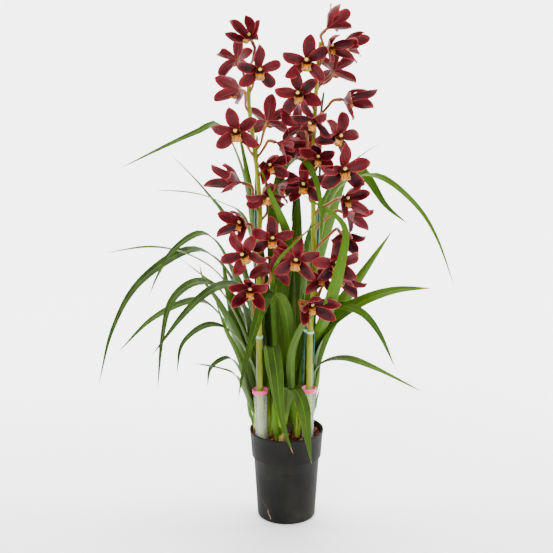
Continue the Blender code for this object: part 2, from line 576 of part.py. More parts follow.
def flower_mesh(kind):
    """A flower that looks along +Z: a hub, an ovary behind, a column in front and six parts round it."""
    angles = sorted([*TEPAL_ANGLES, LIP_ANGLE])
    following = angles[1:] + [angles[0] + 360]
    corners = [math.radians((one + other) / 2) for one, other in zip(angles, following)]
    round_hub = [Vector((math.cos(a), math.sin(a), 0)) for a in corners]
    bm = bmesh.new()
    low = add_ring(bm, [p * HUB_RADIUS + Vector((0, 0, -HUB_DEPTH * 0.4)) for p in round_hub])
    high = add_ring(bm, [p * HUB_RADIUS + Vector((0, 0, HUB_DEPTH * 0.6)) for p in round_hub])
    ovary = add_ring(bm, [p * OVARY_RADIUS + Vector((0, 0, -OVARY_LENGTH)) for p in round_hub])
    waist = add_ring(bm, [p * COLUMN_RADIUS + Vector((0, 0.0004, COLUMN_LENGTH * 0.5)) for p in round_hub])
    head = add_ring(bm, [p * COLUMN_RADIUS * 0.8 + Vector((0, -0.0008, COLUMN_LENGTH)) for p in round_hub])
    bridge(bm, ovary, low)
    bridge(bm, high, waist)
    bridge(bm, waist, head)
    bm.faces.new(reversed(ovary))
    bm.faces.new(head)
    for i, angle in enumerate(angles[1:] + angles[:1]):
        j = (i + 1) % len(angles)
        # The root's corners in the order of a section: front left, front right, back right, back left.
        root = [high[i], high[j], low[j], low[i]]
        if angle == LIP_ANGLE:
            grow_lip(bm, root)
        else:
            length = TEPAL_LENGTH * (PETAL_SHARE if angle in PETAL_ANGLES else 1)
            grow_tepal(bm, root, angle, length, TEPAL_RISE[kind])
    bmesh.ops.recalc_face_normals(bm, faces=bm.faces)
    mesh = bpy.data.meshes.new(f"flower_{kind}")
    bm.to_mesh(mesh)
    bm.free()
    return mesh


def build_flowers(prefix, rows, meshes):
    for number, row in enumerate(rows, 1):
        x, y, z, azimuth, tilt, roll, size, kind = row[:8]
        obj = add_object(f"{prefix}_{number:02d}", meshes[kind], FLOWER_FINISH)
        obj.matrix_world = flower_matrix(azimuth, tilt, roll, size, Vector((x, y, z)) * CM)


def leaf(width, facing, roll, points):
    path = smooth_path([Vector(p) * CM for p in points], LEAF_SEGMENTS)
    facing = math.radians(facing)
    level = Vector((-math.sin(facing), math.cos(facing), 0))
    sides, widths = [], []
    for i, along in enumerate(directions(path)):
        share = i / LEAF_SEGMENTS
        side = (level - along * level.dot(along)).normalized()
        turn = math.radians(roll) * min(share / 0.5, 1)
        sides.append(Matrix.Rotation(turn, 3, along) @ side)
        widths.append(width * CM * min(0.55 + 1.5 * share, 1) * min(1, 2.6 * (1 - share) + 0.12))
    return blade(path, sides, widths, LEAF_THICKNESS, LEAF_KEEL_DEPTH)


def build_shoot(name, roots, leaves):
    """The leaves of one growth, the sheaths that clasp them, and the swollen base between the sheaths."""
    foot = BARK_TOP - SHOOT_POCKET_DEPTH + GAP
    pieces = []
    for x, y in roots:
        path = [Vector((x * CM, y * CM, foot + SHEATH_HEIGHT * share)) for share in (0, 0.35, 1)]
        pieces.append(tube(path, [SHEATH_RADIUS * 0.85, SHEATH_RADIUS, SHEATH_RADIUS * 0.6], 8))
    if len(roots) > 1:
        level = BARK_TOP + BARK_BUMP + GAP + BULB_RADIUS
        ends = [Vector((x * CM, y * CM, level)) for x, y in roots]
        pieces.append(tube(ends, [BULB_RADIUS * 0.95] * 2, 8))
    pieces += [leaf(*row) for row in leaves]
    shade(add_object(name, combine(pieces, solver="MANIFOLD"), LEAF_FINISH), 60)


def sleeve_axis(points):
    """The foot and the top of the sleeve round this flower stem."""
    foot = BARK_TOP - POCKET_DEPTH + GAP
    path = stem_path(points, 40)
    return point_at(path, foot + GAP), point_at(path, foot + SLEEVE_HEIGHT)


def slanted(name, profile, foot, top, finish):
    """A turned piece whose axis runs from its foot to its top."""
    mesh = turned(profile, SLEEVE_STEPS, closed=True)
    turn = Vector((0, 0, 1)).rotation_difference(top - foot).to_matrix().to_4x4()
    mesh.transform(Matrix.Translation(foot) @ turn)
    shade(add_object(name, mesh, finish))


def build_sleeve(side, points):
    foot, top = sleeve_axis(points)
    height = (top - foot).length
    outer = [(SLEEVE_TOP_RADIUS, height), (SLEEVE_FOOT_RADIUS, 0)]
    inner = [(SLEEVE_FOOT_RADIUS - SLEEVE_WALL, 0), (SLEEVE_TOP_RADIUS - SLEEVE_WALL, height)]
    slanted(f"sleeve_{side}", outer + inner, foot, top, SLEEVE_FINISH)
    low = height - RING_BELOW_TOP
    high = low + RING_HEIGHT
    bore = SLEEVE_TOP_RADIUS + GAP
    ring = [(bore, high), (RING_OUTER_RADIUS, high), (RING_OUTER_RADIUS, low), (bore, low)]
    slanted(f"ring_{side}", ring, foot, top, RING_FINISH)


def stake_path(points):
    return smooth_path([Vector(p) * CM for p in points], 8)


def build_stake(name, points):
    path = stake_path(points)
    radii = [STAKE_RADIUS] * (len(path) - 1) + [STAKE_RADIUS * 0.8]
    shade(add_object(name, tube(path, radii, STAKE_SIDES), STAKE_FINISH), 60)


def build_clip(name, stem, stake, height, size, finish):
    """A clip at this height: a loop round the stem, a loop round its stake, and the bar between them."""
    tall, wall = size
    path = stem_path(stem, 40)
    at_stem = point_at(path, height)
    at_stake = point_at(stake_path(stake), height)
    stem_bore = stem_radius(height, path[0].z, path[-1].z) * 1.04 + 2 * GAP
    stake_bore = STAKE_RADIUS * 1.09 + 1.5 * GAP
    low = Vector((0, 0, tall / 2))
    outside = [cylinder(at_stem - low, stem_bore + wall, tall, 10),
               cylinder(at_stake - low, stake_bore + wall, tall, 8),
               tube([at_stem, at_stake], [wall * 0.8] * 2, 6)]
    bores = [cylinder(at_stem - 2 * low, stem_bore, 2 * tall, 10),
             cylinder(at_stake - 2 * low, stake_bore, 2 * tall, 8)]
    shade(add_object(name, combine([combine(outside), *bores], "DIFFERENCE"), finish), 40)


def pocket(centre, radius, depth):
    return cylinder(Vector((centre.x, centre.y, BARK_TOP - depth)), radius, depth + 0.02, 12)


clear_scene()
PLANT = collection("potted_orchid")
HELPERS = collection("helpers")
TURNS = [2 * math.pi * i / POT_STEPS for i in range(POT_STEPS)]

POT_FINISH = material("black_pot_plastic", (0.035, 0.034, 0.033), 0.55)
BARK_FINISH = material("bark", (0.16, 0.055, 0.028), 0.9)
SLEEVE_FINISH = material("milky_sleeve_plastic", (0.78, 0.84, 0.74), 0.3)
RING_FINISH = material("pink_ring_plastic", (0.95, 0.16, 0.42), 0.35)
STEM_FINISH = material("flower_stem", (0.40, 0.38, 0.07), 0.45)
STAKE_FINISH = material("green_stake_plastic", (0.01, 0.10, 0.07), 0.35)
CLIP_FINISH = material("pale_green_clip_plastic", (0.55, 0.78, 0.60), 0.35)
TIE_FINISH = material("dark_green_tie", (0.01, 0.06, 0.05), 0.5)
LEAF_FINISH = material("leaf", (0.10, 0.20, 0.03), 0.4)
FLOWER_FINISH = material("burgundy_petal", (0.20, 0.012, 0.03), 0.4)

build_pot()
sleeve_pockets = [pocket(sleeve_axis(points)[0], SLEEVE_FOOT_RADIUS + POCKET_CLEARANCE * 2, POCKET_DEPTH)
                  for points in (LEFT_STEM, RIGHT_STEM)]
stake_pockets = [pocket(stake_path(points)[0], STAKE_RADIUS + POCKET_CLEARANCE / 2, STAKE_POCKET_DEPTH)
                 for points in STAKES.values()]
shoot_pockets = [pocket(Vector((x, y)) * CM, SHEATH_RADIUS * 0.85 + POCKET_CLEARANCE, SHOOT_POCKET_DEPTH)
                 for roots, leaves in SHOOTS.values() for x, y in roots]
build_bark(sleeve_pockets + stake_pockets + shoot_pockets)
for side, points in (("left", LEFT_STEM), ("right", RIGHT_STEM)):
    build_sleeve(side, points)
for name, points in STAKES.items():
    build_stake(name, points)
build_clip("clip_left", LEFT_STEM, STAKES["stake_left"], 0.3165, (0.0045, 0.0009), CLIP_FINISH)
build_clip("clip_right", RIGHT_STEM, STAKES["stake_right_short"], 0.3215, (0.0040, 0.0009), CLIP_FINISH)
build_clip("tie_right", RIGHT_STEM, STAKES["stake_right"], 0.6180, (0.0016, 0.0008), TIE_FINISH)
for name, (roots, leaves) in SHOOTS.items():
    build_shoot(name, roots, leaves)
FLOWER_MESHES = {kind: flower_mesh(kind) for kind in TEPAL_RISE}
build_spike("spike_left", LEFT_STEM, LEFT_FLOWERS)
build_spike("spike_right", RIGHT_STEM, RIGHT_FLOWERS)
build_flowers("flower_left", LEFT_FLOWERS, FLOWER_MESHES)
build_flowers("flower_right", RIGHT_FLOWERS, FLOWER_MESHES)
bpy.data.collections.remove(HELPERS)
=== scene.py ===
"""The looks of the potted orchid: fine leaves, flowers, stems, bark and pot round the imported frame.

The plant's front faces -Y. Lengths are in metres, but the tables of stems, leaves and flowers are in
centimetres, as the places of a plant are easiest read.
"""
import math
import random

import bmesh
import bpy
import numpy as np
from mathutils import Matrix, Vector, noise


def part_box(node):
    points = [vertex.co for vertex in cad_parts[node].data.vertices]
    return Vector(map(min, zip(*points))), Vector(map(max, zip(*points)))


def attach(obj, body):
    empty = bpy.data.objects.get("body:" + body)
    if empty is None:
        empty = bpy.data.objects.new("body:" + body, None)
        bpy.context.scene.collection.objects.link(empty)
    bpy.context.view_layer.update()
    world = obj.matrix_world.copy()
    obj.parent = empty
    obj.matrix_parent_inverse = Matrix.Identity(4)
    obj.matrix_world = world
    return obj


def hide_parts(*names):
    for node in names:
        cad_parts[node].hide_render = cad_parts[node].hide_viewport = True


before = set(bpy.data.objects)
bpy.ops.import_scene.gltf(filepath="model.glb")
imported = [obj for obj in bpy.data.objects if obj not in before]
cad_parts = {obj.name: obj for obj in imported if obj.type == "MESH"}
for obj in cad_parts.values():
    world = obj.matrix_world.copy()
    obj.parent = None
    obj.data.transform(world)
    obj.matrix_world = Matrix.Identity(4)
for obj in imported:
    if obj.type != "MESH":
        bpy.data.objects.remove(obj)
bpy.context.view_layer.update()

CM = 0.01
MM = 0.001
BODY = "root"
UP = np.array((0.0, 0.0, 1.0))

# ---------------------------------------------------------------------------------------- driving sizes

POT_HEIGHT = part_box("pot")[1].z
RIM_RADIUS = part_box("pot")[1].x
COLLAR_HEIGHT = 46 * MM
BODY_TOP = POT_HEIGHT - COLLAR_HEIGHT
COLLAR_FOOT_RADIUS = 56.2 * MM
BODY_TOP_RADIUS = 53.2 * MM
BASE_RADIUS = 47.3 * MM
BASE_ROUNDING = 5 * MM
POT_WALL = 1.6 * MM
POT_FLOOR = 2.4 * MM
DRAIN_HOLES = 6
DRAIN_HOLE_RADIUS = 4.5 * MM
DRAIN_CIRCLE_RADIUS = 30 * MM

BARK_TOP = 143.5 * MM

SLEEVE_FOOT_RADIUS = 9.3 * MM
SLEEVE_TOP_RADIUS = 11.0 * MM
SLEEVE_WALL = 0.8 * MM
SLEEVE_FOOT = 123.8 * MM
SLEEVE_HEIGHT = 104 * MM
RING_HEIGHT = 6.6 * MM
RING_OUTER_RADIUS = 12.5 * MM
RING_BELOW_TOP = 6.2 * MM

STEM_FOOT_RADIUS = 5.8 * MM
STEM_TOP_RADIUS = 2.9 * MM
STALK_RADIUS = 2.4 * MM
STAKE_RADIUS = 2.1 * MM

SHEATH_RADIUS = 6.8 * MM
LEAF_THICKNESS = 0.9 * MM
KEEL_DEPTH = 0.22
TEPAL_LENGTH = 39.0 * MM
TEPAL_WIDTH = 19.5 * MM
OVARY_LENGTH = 4 * MM
CLIP_WALL = 0.9 * MM
WIRE_RADIUS = 0.7 * MM
GAP = 0.3 * MM

# Centre lines of the flower stems and stakes, foot to top.
STEMS = {
    "left": [(-3.9, -2.5, 12.4), (-4.3, -2.7, 23.5), (-4.4, -3.0, 42.5), (-4.2, -3.0, 53),
             (-4.9, -3.0, 61), (-5.7, -3.0, 67.5), (-5.8, -3.0, 72), (-5.6, -2.8, 75)],
    "right": [(3.3, -2.0, 12.4), (3.6, -2.0, 23.5), (3.7, -2.0, 32), (4.4, -2.0, 42), (4.1, -2.0, 50),
              (4.1, -2.0, 62.5), (4.5, -2.0, 72.5), (5.0, -1.8, 78)],
}
STAKES = {
    "stake_left": [(-4.7, -1.3, 9.9), (-4.7, -1.3, 15), (-4.7, -1.3, 24), (-4.7, -2.15, 32),
                   (-4.9, -2.2, 45), (-4.8, -2.3, 56), (-4.6, -2.3, 64)],
    "stake_right": [(4.1, -0.5, 9.9), (4.1, -0.5, 15), (4.1, -0.5, 24), (4.4, -1.1, 32), (4.8, -1.2, 45),
                    (5.1, -1.2, 60), (5.2, -1.2, 67), (5.6, -1.2, 70.5)],
    "stake_right_short": [(2.6, -0.9, 9.9), (2.6, -0.9, 15), (2.6, -0.9, 24), (3.0, -1.2, 32),
                          (3.2, -1.2, 34.5)],
}

# Heights of the joints on each stem below its lowest flower.
LOWER_JOINTS = (17.6, 22, 26.5, 30)

# ---------------------------------------------------------------------------------------- shader maths


def rgb(code):
    """A colour from its usual six-figure code, in the renderer's own linear values."""
    values = [int(code[i:i + 2], 16) / 255 for i in (1, 3, 5)]
    return tuple(v / 12.92 if v < 0.04045 else ((v + 0.055) / 1.055) ** 2.4 for v in values)


class Socket:
    """One output of a shader node. Python's operators on it add Math nodes."""

    def __init__(self, finish, output):
        self.finish = finish
        self.output = output

    def also(self, name):
        """Another output of the same node."""
        return Socket(self.finish, self.output.node.outputs[name])

    def math(self, operation, *values):
        return self.finish.node("ShaderNodeMath", {"operation": operation}, dict(enumerate(values)))

    def __add__(self, other):
        return self.math("ADD", self, other)

    def __sub__(self, other):
        return self.math("SUBTRACT", self, other)

    def __rsub__(self, other):
        return self.math("SUBTRACT", other, self)

    def __mul__(self, other):
        return self.math("MULTIPLY", self, other)

    def __abs__(self):
        return self.math("ABSOLUTE", self)

    __radd__ = __add__
    __rmul__ = __mul__

    def sine(self):
        return self.math("SINE", self)

    def rising(self, low, high):
        """0 below low, 1 above high, and smooth between. With high under low it falls instead."""
        settings = {"interpolation_type": "SMOOTHSTEP"}
        return self.finish.node("ShaderNodeMapRange", settings, {0: self, 1: low, 2: high})


class Finish:
    """A material, and the one way in which nodes are added to it."""

    def __init__(self, name, **constants):
        self.material = bpy.data.materials.new(name)
        self.material.use_nodes = True
        self.tree = self.material.node_tree
        self.shader = self.tree.nodes["Principled BSDF"]
        self.feed(**constants)

    def node(self, kind, settings=None, inputs=None, output=0):
        """Adds a node with its settings and the values of its sockets, and gives one of its outputs."""
        made = self.tree.nodes.new(kind)
        for name, value in (settings or {}).items():
            setattr(made, name, value)
        for name, value in (inputs or {}).items():
            self.join(made.inputs[name], value)
        return Socket(self, made.outputs[output])

    def join(self, target, value):
        """Gives a socket its value: another node's output, a colour's code, or plain numbers."""
        if isinstance(value, Socket):
            self.tree.links.new(value.output, target)
        elif target.type == "RGBA":
            target.default_value = (*rgb(value), 1)
        else:
            target.default_value = value

    def feed(self, **values):
        """Sets the shader's sockets; an underscore stands for the space in a socket's name."""
        for name, value in values.items():
            self.join(self.shader.inputs[name.replace("_", " ")], value)

    def value(self, name):
        """What the mesh says at each point under this name."""
        return self.node("ShaderNodeAttribute", {"attribute_name": name}, output="Fac")

    def place(self):
        """The point's place on the piece, in metres."""
        return self.node("ShaderNodeTexCoord", output="Object")

    def stretched(self, stretch):
        """The point's place, stretched along each axis."""
        return self.node("ShaderNodeMapping", {}, {"Vector": self.place(), "Scale": stretch})

    def grain(self, scale, detail=2, stretch=(1, 1, 1), roughness=0.5):
        """Soft noise between about 0.2 and 0.8, with this many waves to the metre."""
        inputs = {"Vector": self.stretched(stretch), "Scale": scale, "Detail": detail, "Roughness": roughness}
        return self.node("ShaderNodeTexNoise", {}, inputs)

    def cells(self, scale, stretch=(1, 1, 1)):
        """The distance to the nearest of many scattered points, for freckles and specks."""
        inputs = {"Vector": self.stretched(stretch), "Scale": scale}
        return self.node("ShaderNodeTexVoronoi", {"feature": "F1"}, inputs, output="Distance")

    def mix(self, share, one, other):
        """One colour where share is 0, the other where it is 1."""
        return self.node("ShaderNodeMix", {"data_type": "RGBA"}, {0: share, 6: one, 7: other}, output=2)

    def bump(self, height, strength, depth):
        """Raises the surface where height is large, by up to this depth."""
        inputs = {"Height": height, "Strength": strength, "Distance": depth}
        self.feed(Normal=self.node("ShaderNodeBump", {}, inputs))


# ---------------------------------------------------------------------------------------- finishes


def leaf_finish():
    """A waxy strap leaf: fine parallel veins, a paler midrib, a yellower foot, and near-black painted shade
    where its tone falls to 0 and below.
    """
    made = Finish("waxy_leaf", Specular_IOR_Level=0.15)
    along, across, tone = made.value("along"), made.value("across"), made.value("tone")
    under, dry, fresh = made.value("under"), made.value("dry"), made.value("fresh")
    drift = made.grain(18, 3)
    blotch = made.grain(70, 3, (1, 1, 0.35))
    # The tone carries each leaf's own lightness and also painted shade, lowered towards its foot and deep in
    # the crown.
    shade = tone * 0.75 + drift * 0.5 - 0.12
    green = made.mix(shade.rising(0.0, 1.0), "#162600", "#4a7000")
    # Painted shade: a tone at 0 and below darkens the leaf towards near-black.
    green = made.mix(tone.rising(0.05, -0.6) * 0.9, green, "#0c1a00")
    green = made.mix(blotch.rising(0.45, 0.75) * 0.22, green, "#58860c")
    ribs = (across * 46 + drift * 1.5).sine()
    fine = (across * 121 + blotch * 2).sine()
    green = made.mix(ribs.rising(0.2, 1.0) * 0.24, green, "#102600")
    green = made.mix(fine.rising(0.4, 1.0) * 0.12, green, "#6a9814")
    midrib = abs(across).rising(0.085, 0.0)
    green = made.mix(midrib * 0.42, green, "#749c20")
    green = made.mix(under * 0.36, green, "#567a16")
    margin = abs(across).rising(0.90, 1.0)
    green = made.mix(margin * 0.30, green, "#86a026")
    green = made.mix(fresh, green, "#94ac1c")
    edge_noise = made.grain(160, 2, (1, 1, 0.4)) * 0.06
    dead = (along + dry + edge_noise).rising(1.04, 1.06)
    rind = (along + dry + edge_noise).rising(1.015, 1.04)
    green = made.mix(rind * 0.7, green, "#b98a3a")
    straw = made.mix(blotch.rising(0.35, 0.65), "#1f1712", "#5a3d22")
    made.feed(Base_Color=made.mix(dead, green, straw))
    made.feed(Roughness=0.34 + under * 0.14 + dead * 0.3 + blotch * 0.08)
    made.bump(ribs * 0.5 + fine * 0.3 - midrib * 2.2 + blotch * 0.5, 0.35, 0.35 * MM)
    return made.material


def sheath_finish():
    """The clasping foot of the leaves: fleshy, striped lengthways, bright yellow-green."""
    made = Finish("leaf_sheath", Specular_IOR_Level=0.28)
    along, across, tone = made.value("along"), made.value("across"), made.value("tone")
    streak = made.grain(260, 3, (1, 1, 0.06))
    green = made.mix((tone * 0.6 + streak * 0.6).rising(0.1, 0.9), "#5d8420", "#a5bb3e")
    green = made.mix(along.rising(0.25, 0.0) * 0.7, green, "#c3bf72")
    ribs = (across * 40 + streak).sine()
    green = made.mix(ribs.rising(0.3, 1.0) * 0.3, green, "#4c7419")
    made.feed(Base_Color=green, Roughness=0.38 + streak * 0.15)
    made.bump(ribs, 0.3, 0.35 * MM)
    return made.material


def dry_husk_finish():
    """Old leaf sheaths, dead and papery."""
    made = Finish("dry_husk", Specular_IOR_Level=0.25)
    streak = made.grain(300, 4, (1, 1, 0.05))
    patch = made.grain(40, 3)
    brown = made.mix(streak.rising(0.3, 0.7), "#4a2f1a", "#a57b4c")
    brown = made.mix(patch.rising(0.5, 0.75) * 0.6, brown, "#c9aa78")
    made.feed(Base_Color=brown, Roughness=0.7 + patch * 0.2)
    made.bump(streak, 0.6, 0.5 * MM)
    return made.material


def tepal_finish():
    """Burgundy sepals and petals: velvety front, paler back with a light keel, and a painted highlight along
    the edge.
    """
    made = Finish("burgundy_tepal", Specular_IOR_Level=0.22)
    along, across, tone = made.value("along"), made.value("across"), made.value("tone")
    under, rim = made.value("under"), made.value("rim")
    drift = made.grain(95, 3)
    mottle = made.grain(420, 3)
    depth = tone * 0.55 + drift * 0.65 - 0.12
    red = made.mix(depth.rising(0.05, 0.85), "#180006", "#620010")
    veins = (across * 17 + drift * 2.0).sine() * 0.6 + (across * 47 + mottle * 2).sine() * 0.4
    red = made.mix(veins.rising(0.1, 1.0) * 0.34, red, "#1f0004")
    red = made.mix(mottle.rising(0.5, 0.8) * 0.20, red, "#8c0e1c")
    red = made.mix(along.rising(0.20, 0.0) * 0.5, red, "#a8703f")
    keel = abs(across).rising(0.16, 0.02)
    back = made.mix((drift * 0.6 + veins * 0.2 + 0.1).rising(0.1, 0.7), "#3c040c", "#700e1c")
    back = made.mix(keel * along.rising(0.75, 0.15) * 0.40, back, "#96604a")
    red = made.mix(under, red, back)
    red = made.mix(rim.rising(0.45, 0.95) * 0.50, red, "#960214")
    # Painted highlight: a thin pale pink line along the very edge.
    red = made.mix(rim.rising(0.93, 1.0) * 0.6, red, "#cf7f78")
    made.feed(Base_Color=red, Roughness=0.40 + mottle * 0.16)
    made.bump(veins * 0.5 + mottle * 0.6 - keel * (1 - under) * 1.2 + keel * under, 0.4, 0.3 * MM)
    return made.material


def lip_finish():
    """The lip: golden with wine-red freckles and border, a throat darkened to near-black as painted shade
    under the column, and two orange ridges.
    """
    made = Finish("freckled_lip", Specular_IOR_Level=0.5)
    along, across = made.value("along"), made.value("across")
    under, rim = made.value("under"), made.value("rim")
    drift = made.grain(240, 3)
    gold = made.mix(drift.rising(0.35, 0.7), "#c88a00", "#ecc030")
    gold = made.mix(along.rising(0.62, 0.25) * 0.8, gold, "#d07000")
    spots = made.cells(760)
    wander = made.grain(600, 1)
    freckle = (spots + wander * 0.3).rising(0.80, 0.62)
    field = along.rising(0.25, 0.40) * rim.rising(0.05, 0.35)
    shown = made.mix(freckle * field * 0.9, gold, "#560008")
    border = (rim + drift * 0.2).rising(0.95, 1.03)
    shown = made.mix(border * 0.5, shown, "#8a2430")
    # Painted shade: the throat under the column is darkened to near-black.
    throat = along.rising(0.46, 0.34)
    shown = made.mix(throat * 0.95, shown, "#2a0106")
    ridge = abs(abs(across) - 0.20).rising(0.22, 0.10)
    ridge = ridge * along.rising(0.82, 0.68) * along.rising(0.34, 0.44)
    shown = made.mix(ridge * 0.95, shown, "#f07c00")
    outside = made.mix(drift.rising(0.4, 0.65), "#d8b060", "#a85a38")
    outside = made.mix(rim.rising(0.55, 0.95) * 0.8, outside, "#8a1c2c")
    made.feed(Base_Color=made.mix(under, shown, outside), Roughness=0.36 + drift * 0.15)
    made.bump(drift + freckle * 0.3, 0.3, 0.25 * MM)
    return made.material


def column_finish():
    """The arching column: wine red above; its hollow side over the lip is darkened as painted shade and has
    tan freckles.
    """
    made = Finish("wine_column", Specular_IOR_Level=0.5)
    along, across = made.value("along"), made.value("across")
    drift = made.grain(500, 2)
    red = made.mix(drift.rising(0.3, 0.7), "#40020a", "#74061a")
    # Painted shade: the hollow side under the arch is near-black red; its tan freckles are its own.
    hollow = made.mix(made.cells(1400).rising(0.45, 0.3), "#3c0206", "#8a5a3a")
    red = made.mix(across.rising(0.1, 0.55), red, hollow)
    red = made.mix(along.rising(0.90, 1.0) * 0.3, red, "#a06040")
    made.feed(Base_Color=red, Roughness=0.38 + drift * 0.1)
    return made.material


def anther_finish():
    """The smooth, waxy cap at the column's tip."""
    made = Finish("anther_cap", Specular_IOR_Level=0.5)
    drift = made.grain(700, 2)
    cream = made.mix(drift.rising(0.35, 0.7), "#f2dc78", "#e8bc34")
    made.feed(Base_Color=cream, Roughness=0.42 + drift * 0.1)
    return made.material


def stem_finish():
    """The flower stem: yellow-green, paler low down, faintly ribbed, with a few rust freckles."""
    made = Finish("flower_stem", Specular_IOR_Level=0.3)
    along, across = made.value("along"), made.value("across")
    streak = made.grain(320, 3, (1, 1, 0.05))
    drift = made.grain(30, 2)
    green = made.mix((streak * 0.6 + drift * 0.5).rising(0.3, 0.8), "#6f8414", "#a2a626")
    green = made.mix(along.rising(0.22, 0.05) * 0.7, green, "#a8b85e")
    green = made.mix(along.rising(0.75, 1.0) * 0.35, green, "#7c7420")
    freckle = made.cells(420, (1, 1, 0.5)).rising(0.22, 0.10)
    green = made.mix(freckle * drift.rising(0.4, 0.6) * 0.5, green, "#8b5a2b")
    ribs = (across * 25).sine()
    made.feed(Base_Color=green, Roughness=0.36 + streak * 0.14)
    made.bump(ribs * 0.7 + streak, 0.25, 0.3 * MM)
    return made.material


def stalk_finish():
    """A flower's stalk and ovary: olive where it leaves the stem, orange-brown, darker under the flower."""
    made = Finish("flower_stalk", Specular_IOR_Level=0.3)
    along, tone = made.value("along"), made.value("tone")
    streak = made.grain(600, 2, (1, 1, 0.3))
    brown = made.mix((tone + streak * 0.5 - 0.2).rising(0.1, 0.9), "#6a3010", "#9c5a22")
    brown = made.mix(along.rising(0.35, 0.0) * 0.75, brown, "#7c7a1e")
    brown = made.mix(along.rising(0.75, 1.0) * 0.5, brown, "#551a10")
    made.feed(Base_Color=brown, Roughness=0.34 + streak * 0.14)
    made.bump(streak, 0.2, 0.2 * MM)
    return made.material


def bract_finish():
    """Small dry scales on the stems, straw-coloured and thin."""
    made = Finish("papery_bract", Specular_IOR_Level=0.3)
    along = made.value("along")
    streak = made.grain(500, 2, (1, 1, 0.1))
    straw = made.mix(streak.rising(0.3, 0.7), "#a8a255", "#cfc18a")
    straw = made.mix(along.rising(0.5, 1.0) * 0.8, straw, "#8f6136")
    made.feed(Base_Color=straw, Roughness=0.6 + streak * 0.15)
    return made.material


def pot_finish():
    """Thin black moulded plastic with a satin skin: dust, pinprick specks, a scratch and a root's stain."""
    made = Finish("black_pot_plastic", Specular_IOR_Level=0.08)
    x = made.node("ShaderNodeSeparateXYZ", {}, {0: made.place()})
    height = x.also("Z")
    front = x.also("Y").rising(0.0, -0.02)
    cloud = made.grain(22, 4)
    smear = made.grain(60, 3, (1, 1, 0.25))
    black = made.mix((cloud * 0.6 + smear * 0.4).rising(0.3, 0.75), "#161615", "#22221f")
    specks = made.cells(400).rising(0.13, 0.05) * made.grain(55, 2).rising(0.45, 0.58)
    black = made.mix(specks * 0.55, black, "#6c6258")
    wander = made.grain(130, 2) - 0.5
    scratch = abs(height - 0.0885 - x * 0.035 - wander * 0.0012).rising(0.0006, 0.0001)
    scratch = scratch * x.rising(-0.012, -0.006) * x.rising(0.026, 0.018) * front
    black = made.mix(scratch * 0.8, black, "#040404")
    root = abs(x + 0.0275 + (height - 0.014) * 0.32 + wander * 0.006).rising(0.0010, 0.0003)
    root = root * height.rising(0.006, 0.009) * height.rising(0.026, 0.020) * front
    black = made.mix(root * 0.75, black, "#a08670")
    hair = abs(x + 0.0345 + (height - 0.030) * 0.75 + wander * 0.004).rising(0.0005, 0.0001)
    hair = hair * height.rising(0.024, 0.028) * height.rising(0.042, 0.036) * front
    black = made.mix(hair * 0.6, black, "#6b5a4c")
    dust = height.rising(0.035, 0.0) * cloud.rising(0.45, 0.7)
    black = made.mix(dust * 0.10, black, "#6f665d")
    made.feed(Base_Color=black, Roughness=0.50 + cloud * 0.12 + smear * 0.08)
    made.bump(made.grain(900, 2) * 0.6 + cloud * 0.5 - scratch * 2, 0.16, 0.3 * MM)
    return made.material


def bark_finish():
    """Chips of fir bark: fibrous, red-brown, some dark and some freshly torn."""
    made = Finish("bark_chips", Specular_IOR_Level=0.2)
    tone = made.value("tone")
    fibre = made.grain(420, 4, (1, 0.25, 1), 0.65)
    grit = made.grain(1500, 3)
    brown = made.mix((tone * 0.8 + fibre * 0.6 - 0.2).rising(0.05, 0.95), "#381a0e", "#84452a")
    brown = made.mix(tone.rising(0.86, 0.95) * 0.6, brown, "#b98560")
    brown = made.mix(fibre.rising(0.6, 0.8) * 0.45, brown, "#96603e")
    brown = made.mix(grit.rising(0.35, 0.2) * 0.5, brown, "#1d0e09")
    made.feed(Base_Color=brown, Roughness=0.8 + grit * 0.15)
    made.bump(fibre + grit * 0.5, 0.9, 0.7 * MM)
    return made.material


def sleeve_finish():
    """Milky, soft plastic that lets the stem inside show through."""
    made = Finish("milky_sleeve", Specular_IOR_Level=0.5, IOR=1.46, Alpha=0.13)
    haze = made.grain(60, 3, (1, 1, 0.15))
    drops = made.grain(240, 2)
    milk = made.mix(haze.rising(0.35, 0.7), "#e2e8e4", "#f6f8f5")
    made.feed(Base_Color=milk, Roughness=0.22 + haze * 0.2)
    made.bump(haze + drops * 0.3, 0.15, 0.5 * MM)
    return made.material


def ring_finish():
    """Bright pink moulded plastic."""
    made = Finish("pink_ring", Specular_IOR_Level=0.5)
    cloud = made.grain(120, 2)
    pink = made.mix(cloud.rising(0.35, 0.7), "#f81878", "#ff4a9c")
    made.feed(Base_Color=pink, Roughness=0.3 + cloud * 0.15)
    made.bump(made.grain(500, 2), 0.1, 0.2 * MM)
    return made.material


def stake_finish():
    """A steel stake in a dark green plastic coat with faint rings from its extrusion."""
    made = Finish("green_stake_coat", Specular_IOR_Level=0.5)
    height = made.node("ShaderNodeSeparateXYZ", {}, {0: made.place()}, "Z")
    cloud = made.grain(90, 3)
    green = made.mix(cloud.rising(0.3, 0.7), "#123f34", "#1f6a56")
    rings = (height * 900).sine()
    made.feed(Base_Color=green, Roughness=0.3 + cloud * 0.15)
    made.bump(rings + cloud, 0.2, 0.15 * MM)
    return made.material


def clip_finish():
    """Pale green moulded plastic."""
    made = Finish("pale_green_clip", Specular_IOR_Level=0.5)
    cloud = made.grain(150, 2)
    green = made.mix(cloud.rising(0.3, 0.7), "#9fd0a4", "#c0e6c4")
    made.feed(Base_Color=green, Roughness=0.3 + cloud * 0.12)
    made.bump(made.grain(700, 2), 0.1, 0.15 * MM)
    return made.material


